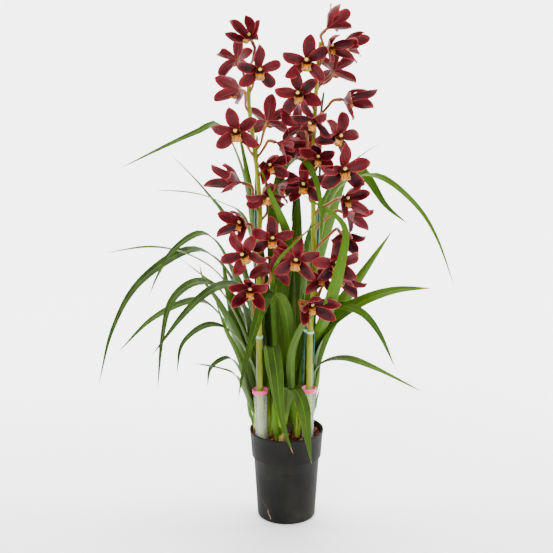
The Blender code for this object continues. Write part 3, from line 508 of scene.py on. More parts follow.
def tie_finish():
    """Wire in a dark green papery coat."""
    made = Finish("dark_green_tie", Specular_IOR_Level=0.4)
    fibre = made.grain(900, 2, (1, 1, 3))
    green = made.mix(fibre.rising(0.3, 0.7), "#123c33", "#2c6a57")
    made.feed(Base_Color=green, Roughness=0.55 + fibre * 0.15)
    made.bump(fibre, 0.5, 0.2 * MM)
    return made.material


# ---------------------------------------------------------------------------------------- mesh tools


def unit(vectors):
    """The vectors at a length of 1."""
    return vectors / np.maximum(np.linalg.norm(vectors, axis=-1, keepdims=True), 1e-12)


def smooth_path(points, pieces):
    """The curve through the points, as pieces + 1 points at even steps along it."""
    points = np.asarray(points, float)
    ends = np.vstack([2 * points[0] - points[1], points, 2 * points[-1] - points[-2]])
    steps = np.arange(24)[:, None] / 24
    fine = []
    for before, start, end, after in zip(ends, ends[1:], ends[2:], ends[3:]):
        fine.append(0.5 * (2 * start + (end - before) * steps
                           + (2 * before - 5 * start + 4 * end - after) * steps ** 2
                           + (3 * start - before - 3 * end + after) * steps ** 3))
    fine = np.vstack([*fine, points[-1:]])
    run = np.concatenate([[0], np.cumsum(np.linalg.norm(np.diff(fine, axis=0), axis=1))])
    wanted = np.linspace(0, run[-1], pieces + 1)
    return np.stack([np.interp(wanted, run, fine[:, axis]) for axis in range(3)], axis=1)


def directions(path):
    """The path's direction at each of its points."""
    return unit(np.gradient(path, axis=0))


def turn_about(vectors, axes, angles):
    """Each vector turned about its axis, which is at right angles to it."""
    angles = np.broadcast_to(angles, len(vectors))[:, None]
    return vectors * np.cos(angles) + np.cross(axes, vectors) * np.sin(angles)


def along_curve(share, stops):
    """The value at each share of a length, read smoothly between (share, value) stops."""
    places, values = np.array(stops).T
    low = np.clip(np.searchsorted(places, share, side="right") - 1, 0, len(places) - 2)
    step = np.clip((share - places[low]) / (places[low + 1] - places[low]), 0, 1)
    slopes = np.gradient(values, places)
    span = places[low + 1] - places[low]
    a, b = values[low], values[low + 1]
    m, n = slopes[low] * span, slopes[low + 1] * span
    return ((2 * step ** 3 - 3 * step ** 2 + 1) * a + (step ** 3 - 2 * step ** 2 + step) * m
            + (-2 * step ** 3 + 3 * step ** 2) * b + (step ** 3 - step ** 2) * n)


def circle(steps):
    """Even angles round a full turn, without the last."""
    return 2 * np.pi * np.arange(steps) / steps


def grid_faces(rows, columns):
    """Four-sided faces over a sheet of points in rows."""
    index = np.arange(rows * columns).reshape(rows, columns)
    return np.stack([index[:-1, :-1], index[:-1, 1:], index[1:, 1:], index[1:, :-1]], axis=-1).reshape(-1, 4)


def tube_faces(rows, sides):
    """Four-sided faces between the rings of a tube, and one face over each of its ends."""
    index = np.arange(rows * sides).reshape(rows, sides)
    following = np.roll(index, -1, axis=1)
    faces = np.stack([index[:-1], following[:-1], following[1:], index[1:]], axis=-1).reshape(-1, 4)
    return [*faces, tuple(index[0][::-1]), tuple(index[-1])]


class Skin:
    """Gathers the faces of one piece, with the values that its finishes read at each point."""

    VALUES = ("along", "across", "tone", "under", "rim", "dry", "fresh")

    def __init__(self):
        self.points = []
        self.values = {name: [] for name in self.VALUES}
        self.faces = []
        self.finishes = []
        self.count = 0

    def add(self, points, faces, finish=0, **values):
        points = np.asarray(points, float).reshape(-1, 3)
        self.points.append(points)
        for name, store in self.values.items():
            store.append(np.broadcast_to(np.asarray(values.get(name, 0.0), float).reshape(-1), len(points)))
        for face in faces:
            self.faces.append(tuple(int(i) + self.count for i in face))
        self.finishes += [finish] * len(faces)
        self.count += len(points)

    def sheet(self, grid, thickness, finish=0, **values):
        """A thin blade, closed all round. Its rows run along it, and its columns from +side to -side."""
        rows, columns = grid.shape[:2]
        lengthways = np.gradient(grid, axis=0)
        sideways = np.gradient(grid, axis=1)
        normal = unit(np.cross(sideways, lengthways))
        half = normal * np.broadcast_to(thickness, (rows, columns))[..., None] / 2
        points = np.concatenate([(grid + half).reshape(-1, 3), (grid - half).reshape(-1, 3)])
        index = np.arange(rows * columns).reshape(rows, columns)
        under = rows * columns
        upper = grid_faces(rows, columns)
        faces = [*upper, *(upper[:, ::-1] + under)]
        loop = [*index[0, :-1], *index[:-1, -1], *index[-1, :0:-1], *index[:0:-1, 0]]
        faces += [(j, i, i + under, j + under) for i, j in zip(loop, loop[1:] + loop[:1])]
        doubled = {name: np.tile(np.broadcast_to(value, (rows, columns)).reshape(-1), 2)
                   for name, value in values.items()}
        doubled["under"] = np.repeat([0.0, 1.0], under)
        self.add(points, faces, finish, **doubled)

    def tube(self, path, radii, sides, finish=0, flat=1.0, **values):
        """A closed tube along the path; flat squeezes its section. `across` runs from -1 to 1 round it."""
        path = np.asarray(path, float)
        rows = len(path)
        along = directions(path)
        side = np.zeros_like(path)
        ahead = np.array((0.0, -1.0, 0.0)) if abs(along[0][1]) < 0.9 else np.array((1.0, 0.0, 0.0))
        for i, direction in enumerate(along):
            ahead = unit(ahead - direction * ahead.dot(direction))
            side[i] = ahead
        other = np.cross(along, side)
        turns = circle(sides)
        radii = np.broadcast_to(radii, rows)[:, None, None]
        points = path[:, None] + radii * (side[:, None] * np.cos(turns)[None, :, None] * flat
                                          + other[:, None] * np.sin(turns)[None, :, None])
        given = {"along": np.repeat(np.linspace(0, 1, rows), sides),
                 "across": np.tile(np.cos(turns), rows)}
        for name, value in values.items():
            given[name] = np.repeat(np.broadcast_to(value, rows), sides)
        self.add(points, tube_faces(rows, sides), finish, **given)

    def ring(self, outline, steps, centre=(0, 0, 0)):
        """A ring about Z from its closed outline of (radius, height) pairs, top to bottom outside."""
        outline = np.array(outline)
        rows, turns = len(outline), circle(steps)
        points = np.stack([outline[:, :1] * np.cos(turns), outline[:, :1] * np.sin(turns),
                           np.broadcast_to(outline[:, 1:], (rows, steps))], axis=-1)
        index = np.arange(rows * steps).reshape(rows, steps)
        below = np.roll(index, -1, axis=0)
        faces = np.stack([index, below, np.roll(below, -1, axis=1), np.roll(index, -1, axis=1)], axis=-1)
        self.add(points + np.array(centre), faces.reshape(-1, 4))

    def transformed(self, matrix):
        """This skin's surface moved by a matrix, as a new skin."""
        made = Skin()
        turn = np.array(matrix.to_3x3())
        shift = np.array(matrix.translation)
        made.points = [points @ turn.T + shift for points in self.points]
        made.values = self.values
        made.faces = self.faces
        made.finishes = self.finishes
        made.count = self.count
        return made

    def piece(self, name, finishes, sharp=None):
        """The gathered surface as an object."""
        mesh = bpy.data.meshes.new(name)
        mesh.from_pydata(np.vstack(self.points).tolist(), [], self.faces)
        for material in finishes:
            mesh.materials.append(material)
        mesh.polygons.foreach_set("material_index", self.finishes)
        for value, store in self.values.items():
            attribute = mesh.attributes.new(value, "FLOAT", "POINT")
            attribute.data.foreach_set("value", np.concatenate(store).astype(np.float32))
        mesh.shade_smooth()
        if sharp:
            mesh.set_sharp_from_angle(angle=math.radians(sharp))
        obj = bpy.data.objects.new(name, mesh)
        bpy.context.scene.collection.objects.link(obj)
        return obj


def settle(piece, slot, *nodes):
    """Every piece rides on the plant and stands for its solids; its slot is not used."""
    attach(piece, BODY)
    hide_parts(*nodes)


def turned(name, outline, steps, finish):
    """A turned piece about Z from its closed outline, as an object."""
    skin = Skin()
    skin.ring(outline, steps)
    return skin.piece(name, [finish], 35)


# ---------------------------------------------------------------------------------------- pot and bark


def rounded(centre, radius, start, end, steps=5):
    """An arc of (radius, height) pairs, its angles in degrees from +radius."""
    angles = np.radians(np.linspace(start, end, steps))
    return [(centre[0] + radius * math.cos(a), centre[1] + radius * math.sin(a)) for a in angles]


def inner_radius(height):
    """The pot's inner radius at this height, below its collar."""
    return BASE_RADIUS + (BODY_TOP_RADIUS - BASE_RADIUS) * height / BODY_TOP - POT_WALL


def make_pot(finish):
    """The thin-walled pot: a stepped collar with a rolled lip, a tapered body, and a foot ring."""
    lip = 0.8 * MM
    outside = [*rounded((RIM_RADIUS - lip, POT_HEIGHT - lip), lip, 90, 0),
               (RIM_RADIUS, POT_HEIGHT - 3.4 * MM), (RIM_RADIUS - 0.5 * MM, POT_HEIGHT - 4.4 * MM)]
    fall = RIM_RADIUS - 0.8 * MM - COLLAR_FOOT_RADIUS
    for share in (0.25, 0.5, 0.75):
        height = POT_HEIGHT - 4.5 * MM - (COLLAR_HEIGHT - 5.5 * MM) * share
        outside.append((RIM_RADIUS - 0.8 * MM - fall * share, height))
    outside += rounded((COLLAR_FOOT_RADIUS - 1.2 * MM, BODY_TOP + 1.2 * MM), 1.2 * MM, 0, -80)
    outside += [(BODY_TOP_RADIUS + 0.4 * MM, BODY_TOP - 0.2 * MM), (BODY_TOP_RADIUS, BODY_TOP - 1.2 * MM)]
    for share in (0.3, 0.6, 0.9):
        height = (BODY_TOP - 1.2 * MM) * (1 - share) + BASE_ROUNDING * share
        outside.append((BODY_TOP_RADIUS + (BASE_RADIUS - BODY_TOP_RADIUS) * share, height))
    outside += rounded((BASE_RADIUS - BASE_ROUNDING, BASE_ROUNDING), BASE_ROUNDING, 0, -90, 8)
    foot_ring = BASE_RADIUS - BASE_ROUNDING
    under = [(foot_ring - 3 * MM, 0), (foot_ring - 3.6 * MM, 0.5 * MM), (8 * MM, 0.5 * MM),
             (7.6 * MM, 0), (0.2 * MM, 0)]
    inside = [(0.2 * MM, POT_FLOOR), (inner_radius(POT_FLOOR) - 3 * MM, POT_FLOOR),
              (inner_radius(7 * MM), 7 * MM), (BODY_TOP_RADIUS - POT_WALL, BODY_TOP - MM),
              (COLLAR_FOOT_RADIUS - POT_WALL, BODY_TOP + 2 * MM),
              (RIM_RADIUS - 0.8 * MM - POT_WALL, POT_HEIGHT - 4.5 * MM),
              *rounded((RIM_RADIUS - POT_WALL + 0.2 * MM, POT_HEIGHT - lip), lip, 180, 100)]
    pot = turned("pot_shell", outside + under + inside, 120, finish)
    cut_drain_holes(pot)
    settle(pot, "pot_plastic", "pot")


def cut_drain_holes(pot):
    """Cuts the ring of drain holes through the pot's floor."""
    cutter_mesh = bmesh.new()
    for i in range(DRAIN_HOLES):
        turn = 2 * math.pi * (i + 0.3) / DRAIN_HOLES
        place = Matrix.Translation(Vector((math.cos(turn), math.sin(turn), 0)) * DRAIN_CIRCLE_RADIUS)
        bmesh.ops.create_cone(cutter_mesh, cap_ends=True, segments=28, radius1=DRAIN_HOLE_RADIUS,
                              radius2=DRAIN_HOLE_RADIUS, depth=4 * POT_FLOOR, matrix=place)
    mesh = bpy.data.meshes.new("drain_holes")
    cutter_mesh.to_mesh(mesh)
    cutter_mesh.free()
    cutter = bpy.data.objects.new("drain_holes", mesh)
    bpy.context.scene.collection.objects.link(cutter)
    cut = pot.modifiers.new("drain", "BOOLEAN")
    cut.object = cutter
    cut.operation = "DIFFERENCE"
    bpy.context.view_layer.update()
    graph = bpy.context.evaluated_depsgraph_get()
    pot.data = bpy.data.meshes.new_from_object(pot.evaluated_get(graph))
    pot.modifiers.clear()
    bpy.data.objects.remove(cutter)


def chip_shape(rng):
    """A few corners of a torn chip, flat and longer than wide, as a convex lump."""
    length, width, depth = rng.uniform(4, 11), rng.uniform(2.6, 6), rng.uniform(1.4, 3.4)
    lump = bmesh.new()
    for _ in range(rng.randint(9, 13)):
        corner = Vector((rng.uniform(-1, 1), rng.uniform(-1, 1), rng.uniform(-1, 1)))
        corner /= max(abs(corner.x), abs(corner.y), abs(corner.z) * 0.9, 0.35)
        corner *= rng.uniform(0.75, 1)
        lump.verts.new(Vector((corner.x * length, corner.y * width, corner.z * depth)) * MM / 2)
    hull = bmesh.ops.convex_hull(lump, input=lump.verts)
    unused = {v for v in hull["geom_interior"] + hull["geom_unused"] if isinstance(v, bmesh.types.BMVert)}
    bmesh.ops.delete(lump, geom=list(unused), context="VERTS")
    bmesh.ops.bevel(lump, geom=lump.edges[:], offset=0.28 * MM, segments=1, affect="EDGES")
    bmesh.ops.recalc_face_normals(lump, faces=lump.faces)
    return lump


def add_bark_plug(skin):
    """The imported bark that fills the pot, with an uneven top."""
    turns, rings = circle(64), 12
    top_radius = COLLAR_FOOT_RADIUS + 1.5 * MM - POT_WALL
    kept_off = POT_WALL + 0.6 * MM
    outline = [(0.2 * MM, POT_FLOOR + GAP), (inner_radius(8 * MM) - 3 * MM, POT_FLOOR + GAP),
               (inner_radius(10 * MM) - 0.6 * MM, 10 * MM), (BODY_TOP_RADIUS - kept_off, BODY_TOP - 2 * MM),
               (COLLAR_FOOT_RADIUS - kept_off, BODY_TOP + 4 * MM), (top_radius, BARK_TOP - 4 * MM)]
    rows = [[(r * math.cos(a), r * math.sin(a), z) for a in turns] for r, z in outline]
    for i in range(rings - 1, 0, -1):
        r = top_radius * i / rings
        spots = [(r * math.cos(a), r * math.sin(a)) for a in turns]
        rows.append([(x, y, BARK_TOP - 3.4 * MM + 2.2 * MM * noise.noise((90 * x, 90 * y, 3.0)))
                     for x, y in spots])
    skin.add(rows, tube_faces(len(rows), len(turns)), tone=0.25)


def make_bark(finish, kept_clear):
    """A plug of bark below, and on it loose chips that keep clear of what stands in the pot."""
    rng = random.Random(11)
    skin = Skin()
    add_bark_plug(skin)
    for layer, chips in enumerate((250, 210, 110)):
        for _ in range(chips):
            far = (RIM_RADIUS - 7.5 * MM) * math.sqrt(rng.random())
            turn = rng.uniform(0, 2 * math.pi)
            place = Vector((far * math.cos(turn), far * math.sin(turn), 0))
            if any((place.xy - spot).length < clear for spot, clear in kept_clear):
                continue
            place.z = BARK_TOP - 1.2 * MM + layer * 1.3 * MM + rng.uniform(-0.8, 0.8) * MM
            lump = chip_shape(rng)
            scale = 1.0 if layer < 2 else 0.62
            tip_x, tip_y = rng.gauss(0, 0.35), rng.gauss(0, 0.35)
            turned_by = Matrix.Rotation(rng.uniform(0, 6.283), 4, "Z") @ Matrix.Rotation(tip_x, 4, "X")
            turned_by = turned_by @ Matrix.Rotation(tip_y, 4, "Y") @ Matrix.Scale(scale, 4)
            lump.transform(Matrix.Translation(place) @ turned_by)
            lump.verts.index_update()
            skin.add([v.co[:] for v in lump.verts], [[v.index for v in f.verts] for f in lump.faces],
                     tone=rng.random())
            lump.free()
    settle(skin.piece("bark_chips", [finish], 25), "bark", "potting_bark")


# ---------------------------------------------------------------------------------------- stems

# The order of a stem's finishes.
STEM, STALK, BRACT = range(3)


def stem_line(side):
    """The smooth centre line of the stem on this side."""
    return smooth_path(np.array(STEMS[side]) * CM, 140)


def at_height(path, height):
    """Where a rising path passes this height."""
    return np.array([np.interp(height, path[:, 2], path[:, axis]) for axis in range(3)])


def stem_radius(height, path):
    """The stem's radius at this height: it thins towards its top."""
    share = (height - path[0, 2]) / (path[-1, 2] - path[0, 2])
    return STEM_FOOT_RADIUS + (STEM_TOP_RADIUS - STEM_FOOT_RADIUS) * share ** 0.7


def flower_axes(azimuth, tilt, roll):
    """A flower's right, up and outward directions."""
    azimuth, tilt, roll = map(math.radians, (azimuth, tilt, roll))
    out = Vector((math.sin(azimuth) * math.cos(tilt), -math.cos(azimuth) * math.cos(tilt), math.sin(tilt)))
    right = Vector((math.cos(azimuth), math.sin(azimuth), 0))
    right = right * math.cos(roll) + out.cross(right) * math.sin(roll)
    return right, out.cross(right), out


def flower_scale(size):
    """The scale of a flower of this size in the table, which evens out the small ones."""
    return 0.62 + 0.46 * size


def stalk_line(path, row):
    """The bowed line of a flower's stalk, from inside the stem to the back of the flower."""
    x, y, z, azimuth, tilt, roll, size = row[:7]
    height, bow = row[8:]
    out = np.array(flower_axes(azimuth, tilt, roll)[2])
    joint = np.array((x, y, z)) * CM - out * (OVARY_LENGTH * flower_scale(size) + GAP)
    start = at_height(path, height * CM)
    reach = np.linalg.norm(joint - start)
    away = unit((joint - start) * (1, 1, 0))
    leave = start + away * reach * 0.18 + UP * reach * 0.22
    arrive = joint - out * reach * 0.28 - UP * reach * 0.06
    leave[0] += bow * CM * 0.7
    arrive[0] += bow * CM
    middle = leave + (arrive - leave) * 0.55
    return smooth_path([start, leave, middle, arrive, joint], 18)


def add_bract(skin, foot, outward, height, width, rng, finish):
    """A small pointed scale that clasps the stem."""
    rows, columns = 9, 7
    share = np.linspace(0, 1, rows)[:, None]
    u = np.linspace(1, -1, columns)[None, :]
    side = np.cross(UP, outward)
    lean = rng.uniform(0.1, 0.35)
    half = width / 2 * (1 - share ** 2.2) + 0.15 * MM
    wrap = (1 - 0.6 * share) * half * 0.7 * u ** 2
    grid = (foot + UP * (share * height)[..., None] + side * (u * half)[..., None]
            + outward * (share ** 1.6 * height * lean - wrap)[..., None])
    skin.sheet(grid, 0.25 * MM, finish, along=share, across=u)


def make_spike(side, flowers, finishes):
    """The stem, its joints and scales, and a stalk for each of its flowers."""
    rng = random.Random(len(flowers))
    skin = Skin()
    path = stem_line(side)
    joints = sorted([row[8] * CM for row in flowers] + [height * CM for height in LOWER_JOINTS])
    radii = stem_radius(path[:, 2], path)
    for joint in joints:
        radii = radii * (1 + 0.13 * np.exp(-((path[:, 2] - joint) / (2.2 * MM)) ** 2))
    skin.tube(path, radii, 20, finish=STEM)
    for joint in joints[:len(LOWER_JOINTS)]:
        outward = unit(np.array((rng.uniform(-1, 1), -1.0, 0)))
        foot = at_height(path, joint) + outward * stem_radius(joint, path)
        add_bract(skin, foot, outward, 11 * MM, 8 * MM, rng, finish=STEM)
    for row in flowers:
        line = stalk_line(path, row)
        share = np.linspace(0, 1, len(line))
        radius = STALK_RADIUS * along_curve(share, [(0, 1.15), (0.12, 0.92), (0.5, 0.92), (1, 1.25)])
        skin.tube(line, radius, 10, finish=STALK, tone=rng.random())
        outward = unit((line[4] - line[0]) * (1, 1, 0))
        foot = at_height(path, row[8] * CM - 1.5 * MM) + outward * stem_radius(row[8] * CM, path) * 0.98
        add_bract(skin, foot, outward, rng.uniform(4, 7) * MM, 4.2 * MM, rng, finish=BRACT)
    settle(skin.piece(f"flower_stem_{side}", finishes), "flower_stem", f"spike_{side}")


# ---------------------------------------------------------------------------------------- flowers

# Each flower: (x, y, z, azimuth, tilt, roll, size, kind, height where its stalk leaves the stem, bow).
# Azimuth 0 faces the front and 90 faces +X; a positive tilt looks up. The bow bends the stalk to the right.
FLOWERS = {
    "left": [
        (-5.4, -2.6, 78.3, -30, 45, 0, 0.69, "cupped", 74.5, 0),
        (-7.6, -1.4, 75.2, 205, 10, 0, 0.69, "open", 71.5, 0),
        (-4.4, -4.6, 74.2, 15, 0, 0, 0.81, "open", 70.5, 0),
        (-7.2, -3.6, 71.0, 215, -5, 20, 0.76, "cupped", 67.5, 0),
        (-7.5, -4.8, 65.0, -12, 0, 10, 0.99, "open", 60.5, 0),
        (-3.0, -2.9, 66.0, 165, 15, 0, 0.95, "open", 61.5, 0),
        (-1.4, -3.7, 62.9, 75, -20, 0, 0.72, "cupped", 60.3, 0),
        (-3.1, -4.4, 59.6, 25, 5, 10, 0.74, "cupped", 57.5, 0),
        (-7.2, -4.6, 57.0, -65, 15, 0, 0.92, "cupped", 52.0, 0),
        (-3.2, -5.4, 55.4, 15, -35, 0, 0.81, "open", 52.8, 0),
        (-1.5, -2.9, 56.0, 60, -5, 0, 0.63, "cupped", 50.5, 0),
        (-6.6, -4.2, 50.4, -40, 10, 0, 0.81, "cupped", 46.5, 0),
        (-6.4, -6.0, 46.2, -15, -5, 30, 0.95, "open", 43.5, 0),
        (-2.4, -5.4, 48.4, 8, 5, 0, 0.81, "open", 44.8, 0),
        (-5.6, -5.4, 40.2, -5, 5, 0, 0.90, "cupped", 33.5, 0),
        (-2.4, -5.1, 43.0, 170, 25, 20, 0.92, "open", 38.5, 0),
        (-1.7, -0.9, 44.0, 60, 0, 0, 0.56, "cupped", 39.5, 0),
    ],
    "right": [
        (6.0, -1.6, 80.0, 120, 35, 0, 0.81, "cupped", 76.5, 0),
        (8.0, -1.8, 77.6, 75, 0, 0, 0.74, "cupped", 74.5, 0),
        (3.0, -4.9, 75.6, -8, 5, 0, 0.92, "open", 72.5, 0),
        (7.0, -0.4, 73.4, 160, 10, 0, 0.90, "open", 70.6, 0),
        (2.0, -5.2, 70.8, -18, 0, 10, 0.96, "open", 67.5, 0),
        (4.2, -5.8, 67.0, -40, -30, 0, 0.94, "open", 64.6, 0),
        (8.5, -4.0, 69.6, 50, 0, 10, 0.85, "cupped", 65.8, 0),
        (2.1, -2.7, 65.2, 205, 5, 0, 0.86, "open", 60.4, 0),
        (7.4, -4.6, 64.2, 28, 0, -25, 0.85, "open", 60.9, 0),
        (8.4, -5.0, 59.2, 15, 0, 5, 1.08, "open", 56.0, 0),
        (8.7, -3.6, 54.2, 30, 5, 0, 0.83, "cupped", 51.0, 0),
        (9.2, -1.6, 51.4, 55, -15, 0, 0.74, "cupped", 48.6, 0),
        (8.3, -2.8, 48.5, 20, -20, 0, 0.85, "cupped", 45.6, 0),
        (1.6, -5.2, 45.0, -12, 0, -5, 1.03, "open", 41.6, 0),
        (7.4, -4.7, 44.4, 12, 0, 0, 1.01, "open", 40.8, 0),
        (8.2, -1.8, 41.2, 35, -35, 0, 0.85, "cupped", 37.6, 0),
        (3.4, -5.2, 37.8, 25, -5, 0, 0.90, "cupped", 32.6, -0.6),
        (5.6, -3.4, 41.4, -10, 10, 0, 0.58, "cupped", 36.6, 0),
        (6.0, -3.9, 77.5, 40, 10, 0, 0.56, "cupped", 74.0, 0),
        (4.9, -4.0, 60.6, -10, 15, 0, 0.62, "cupped", 57.6, 0),
        (2.2, -1.0, 60.6, 200, 15, 0, 0.80, "open", 57.0, 0),
        (3.0, -2.6, 56.2, -25, 5, 0, 0.85, "open", 53.0, 0),
    ],
}

# The order of a flower's finishes.
TEPAL, LIP, COLUMN, ANTHER, OVARY = range(5)

# Where the sepals and petals point, in degrees from the flower's right.
SEPALS = (90, -38, 218)
PETALS = (22, 158)
# How far the middle and the tip of a tepal stand forward, as shares of its length.
RISE = {"open": (0.20, 0.14), "cupped": (0.46, 0.86)}
# How far out from the flower's middle a tepal's five marks lie, as shares of its length. The hood is the
# upper sepal of a cupped flower, which bends back in.
SPREAD = {"open": (0.03, 0.20, 0.43, 0.76, 0.97), "cupped": (0.03, 0.24, 0.48, 0.74, 0.84)}
HOOD = (0.03, 0.25, 0.44, 0.52, 0.44)
# A tepal's half width along its length, as shares of the widest.
SEPAL_OUTLINE = [(0, 0.30), (0.14, 0.52), (0.32, 0.84), (0.52, 1.0), (0.70, 0.95), (0.85, 0.70),
                 (0.95, 0.36), (1, 0.05)]
PETAL_OUTLINE = [(0, 0.26), (0.14, 0.46), (0.34, 0.80), (0.56, 1.0), (0.74, 0.96), (0.88, 0.70),
                 (0.96, 0.38), (1, 0.06)]


def add_tepal(skin, angle, kind, petal, rng):
    """A sepal or petal: clawed at its foot, hollowed like a spoon, with a groove down its front."""
    rows, columns = 17, 11
    length = TEPAL_LENGTH * (0.96 if petal else 1.0) * rng.uniform(0.94, 1.04)
    width = TEPAL_WIDTH * (0.90 if petal else 0.96) * rng.uniform(0.92, 1.06)
    middle, tip = RISE[kind]
    middle += rng.uniform(-0.06, 0.10) + 0.08 * petal
    tip += rng.uniform(-0.20, 0.22) + (0.10 if angle == 90 else 0) + 0.12 * petal
    turn = math.radians(angle + rng.uniform(-11, 11))
    outward = np.array((math.cos(turn), math.sin(turn), 0))
    front = np.array((0.0, 0.0, 1.0))
    spread = HOOD if angle == SEPALS[0] and kind == "cupped" else SPREAD[kind]
    stops = list(zip(spread, (-0.01, middle * 0.45, middle * 0.90, (middle + tip) * 0.56, tip)))
    line = smooth_path([outward * length * s + front * length * h for s, h in stops], rows - 1)
    share = np.linspace(0, 1, rows)
    along = directions(line)
    side = np.cross(front, outward)
    side = unit(side - along * (along @ side)[:, None])
    side = turn_about(side, along, np.radians(rng.uniform(-38, 38)) * share)
    face = np.cross(along, side)
    half = width / 2 * along_curve(share, PETAL_OUTLINE if petal else SEPAL_OUTLINE)
    u = np.linspace(1, -1, columns)
    hollow = rng.uniform(0.30, 0.52) if kind == "cupped" else rng.uniform(0.10, 0.38)
    cup = hollow * along_curve(share, [(0, 2.0), (0.3, 1.2), (0.8, 1.0), (1, 0.7)])
    ripple = 0.5 * MM * np.sin(share * rng.uniform(9, 14) + rng.uniform(0, 6))[:, None] * np.abs(u) ** 3
    groove = 0.45 * MM * np.exp(-(u / 0.15) ** 2) * (share[:, None] < 0.93)
    lift = cup[:, None] * half[:, None] * u ** 2 - groove + ripple * np.sign(u)
    hook = -0.10 * length * np.clip((share - 0.84) / 0.16, 0, 1) ** 2 * rng.uniform(0.2, 1.0)
    grid = line[:, None] + side[:, None] * (u * half[:, None])[..., None]
    grid = grid + face[:, None] * (lift + hook[:, None])[..., None]
    edge = np.maximum(np.abs(u)[None, :], (share[:, None] - 0.55) / 0.45)
    thick = 0.75 * MM * (1 - 0.55 * edge)
    skin.sheet(grid, thick, TEPAL, along=share[:, None], across=u[None, :], rim=edge,
               tone=rng.uniform(0.05, 0.95))


def add_lip(skin, kind, rng):
    """The lip: side lobes that stand up beside the column, then a ruffled middle lobe turned down."""
    rows, columns = 19, 15
    spread = 1.0 if kind == "open" else 0.85
    stops = np.array([(0, -1.6, 0.4), (0, -3.8, 3.6), (0, -5.2, 7.4), (0, -6.8, 10.6), (0, -9.6, 12.8),
                      (0, -12.6, 12.6), (0, -14.8, 10.4)]) * MM
    line = smooth_path(stops, rows - 1)
    share = np.linspace(0, 1, rows)
    along = directions(line)
    side = np.array((1.0, 0, 0))
    face = np.cross(along, side)
    half = spread * MM * along_curve(share, [(0, 2.2), (0.15, 5.6), (0.35, 9.0), (0.5, 8.2), (0.62, 6.4),
                                             (0.75, 7.4), (0.9, 6.6), (1, 3.0)])
    bend = along_curve(share, [(0, 0.9), (0.2, 1.25), (0.4, 1.05), (0.58, 0.6), (0.7, 0.15), (1, -0.3)])
    u = np.linspace(1, -1, columns)
    angle = np.where(np.abs(bend) < 0.05, 0.05, bend)[:, None]
    sideways = half[:, None] * np.sin(u * angle) / angle
    lift = half[:, None] * (1 - np.cos(u * angle)) / angle
    ruffle = along_curve(share, [(0, 0), (0.3, 0.25), (0.6, 0.5), (0.85, 1.0), (1, 0.9)])[:, None] * MM
    wave = np.sin(share[:, None] * 30 + np.abs(u) * 3 + rng.uniform(0, 6)) * np.abs(u) ** 2
    ridge_height = 0.8 * MM * along_curve(share, [(0, 0.2), (0.3, 1), (0.52, 1), (0.62, 0), (1, 0)])[:, None]
    ridges = ridge_height * np.exp(-((np.abs(u) - 0.17) / 0.09) ** 2)
    lift = lift + ruffle * wave + ridges
    grid = line[:, None] + side * sideways[..., None] + face[:, None] * lift[..., None]
    edge = np.maximum(np.abs(u)[None, :], (share[:, None] - 0.6) / 0.4)
    skin.sheet(grid, 0.45 * MM * (1 - 0.4 * edge), LIP, along=share[:, None], across=u[None, :], rim=edge)


def add_column(skin):
    """The column, which arches over the lip and carries the anther cap."""
    marks = [(0, 0, -0.6), (0, 2.0, 3.0), (0, 3.2, 6.5), (0, 3.3, 9.6), (0, 2.2, 12.0)]
    line = smooth_path(np.array(marks) * MM, 12)
    share = np.linspace(0, 1, len(line))
    radius = MM * along_curve(share, [(0, 2.5), (0.2, 1.9), (0.6, 1.8), (0.85, 2.3), (1, 1.9)])
    skin.tube(line, radius, 14, finish=COLUMN, flat=0.72)
    angles = np.linspace(0, math.pi, 9)
    middle = line[-1] + np.array((0, 0.7, 0.7)) * MM
    cap = middle + np.cos(angles)[:, None] * np.array((0, 0.9, -1.6)) * MM
    skin.tube(cap, (2.7 * np.sin(angles) + 0.05) * MM, 12, finish=ANTHER)


def add_ovary(skin, rng):
    """The short grooved neck behind the flower, which its stalk runs into."""
    levels = (-OVARY_LENGTH - GAP, -2.6 * MM, -1.2 * MM, 0, 1.2 * MM)
    line = np.array([(0, 0, level) for level in levels])
    skin.tube(line, np.array((1.6, 1.9, 2.3, 2.9, 2.4)) * MM, 12, finish=OVARY, tone=rng.random(),
              along=(0.75, 0.85, 0.95, 1.0, 1.0))


def make_flower(name, row, finishes):
    """One whole flower, set in its place on the spray."""
    x, y, z, azimuth, tilt, roll, size, kind = row[:8]
    rng = random.Random(name)
    skin = Skin()
    for angle in SEPALS + PETALS:
        add_tepal(skin, angle, kind, angle in PETALS, rng)
    add_lip(skin, kind, rng)
    add_column(skin)
    add_ovary(skin, rng)
    right, up, out = flower_axes(azimuth, tilt, roll)
    turn = Matrix((right, up, out)).transposed().to_4x4()
    place = Matrix.Translation(Vector((x, y, z)) * CM) @ turn @ Matrix.Scale(flower_scale(size), 4)
    settle(skin.transformed(place).piece(f"bloom_{name}", finishes), "petal", f"flower_{name}")


# ---------------------------------------------------------------------------------------- leaves

# The order of a shoot's finishes.
BLADE, SHEATH, HUSK = range(3)

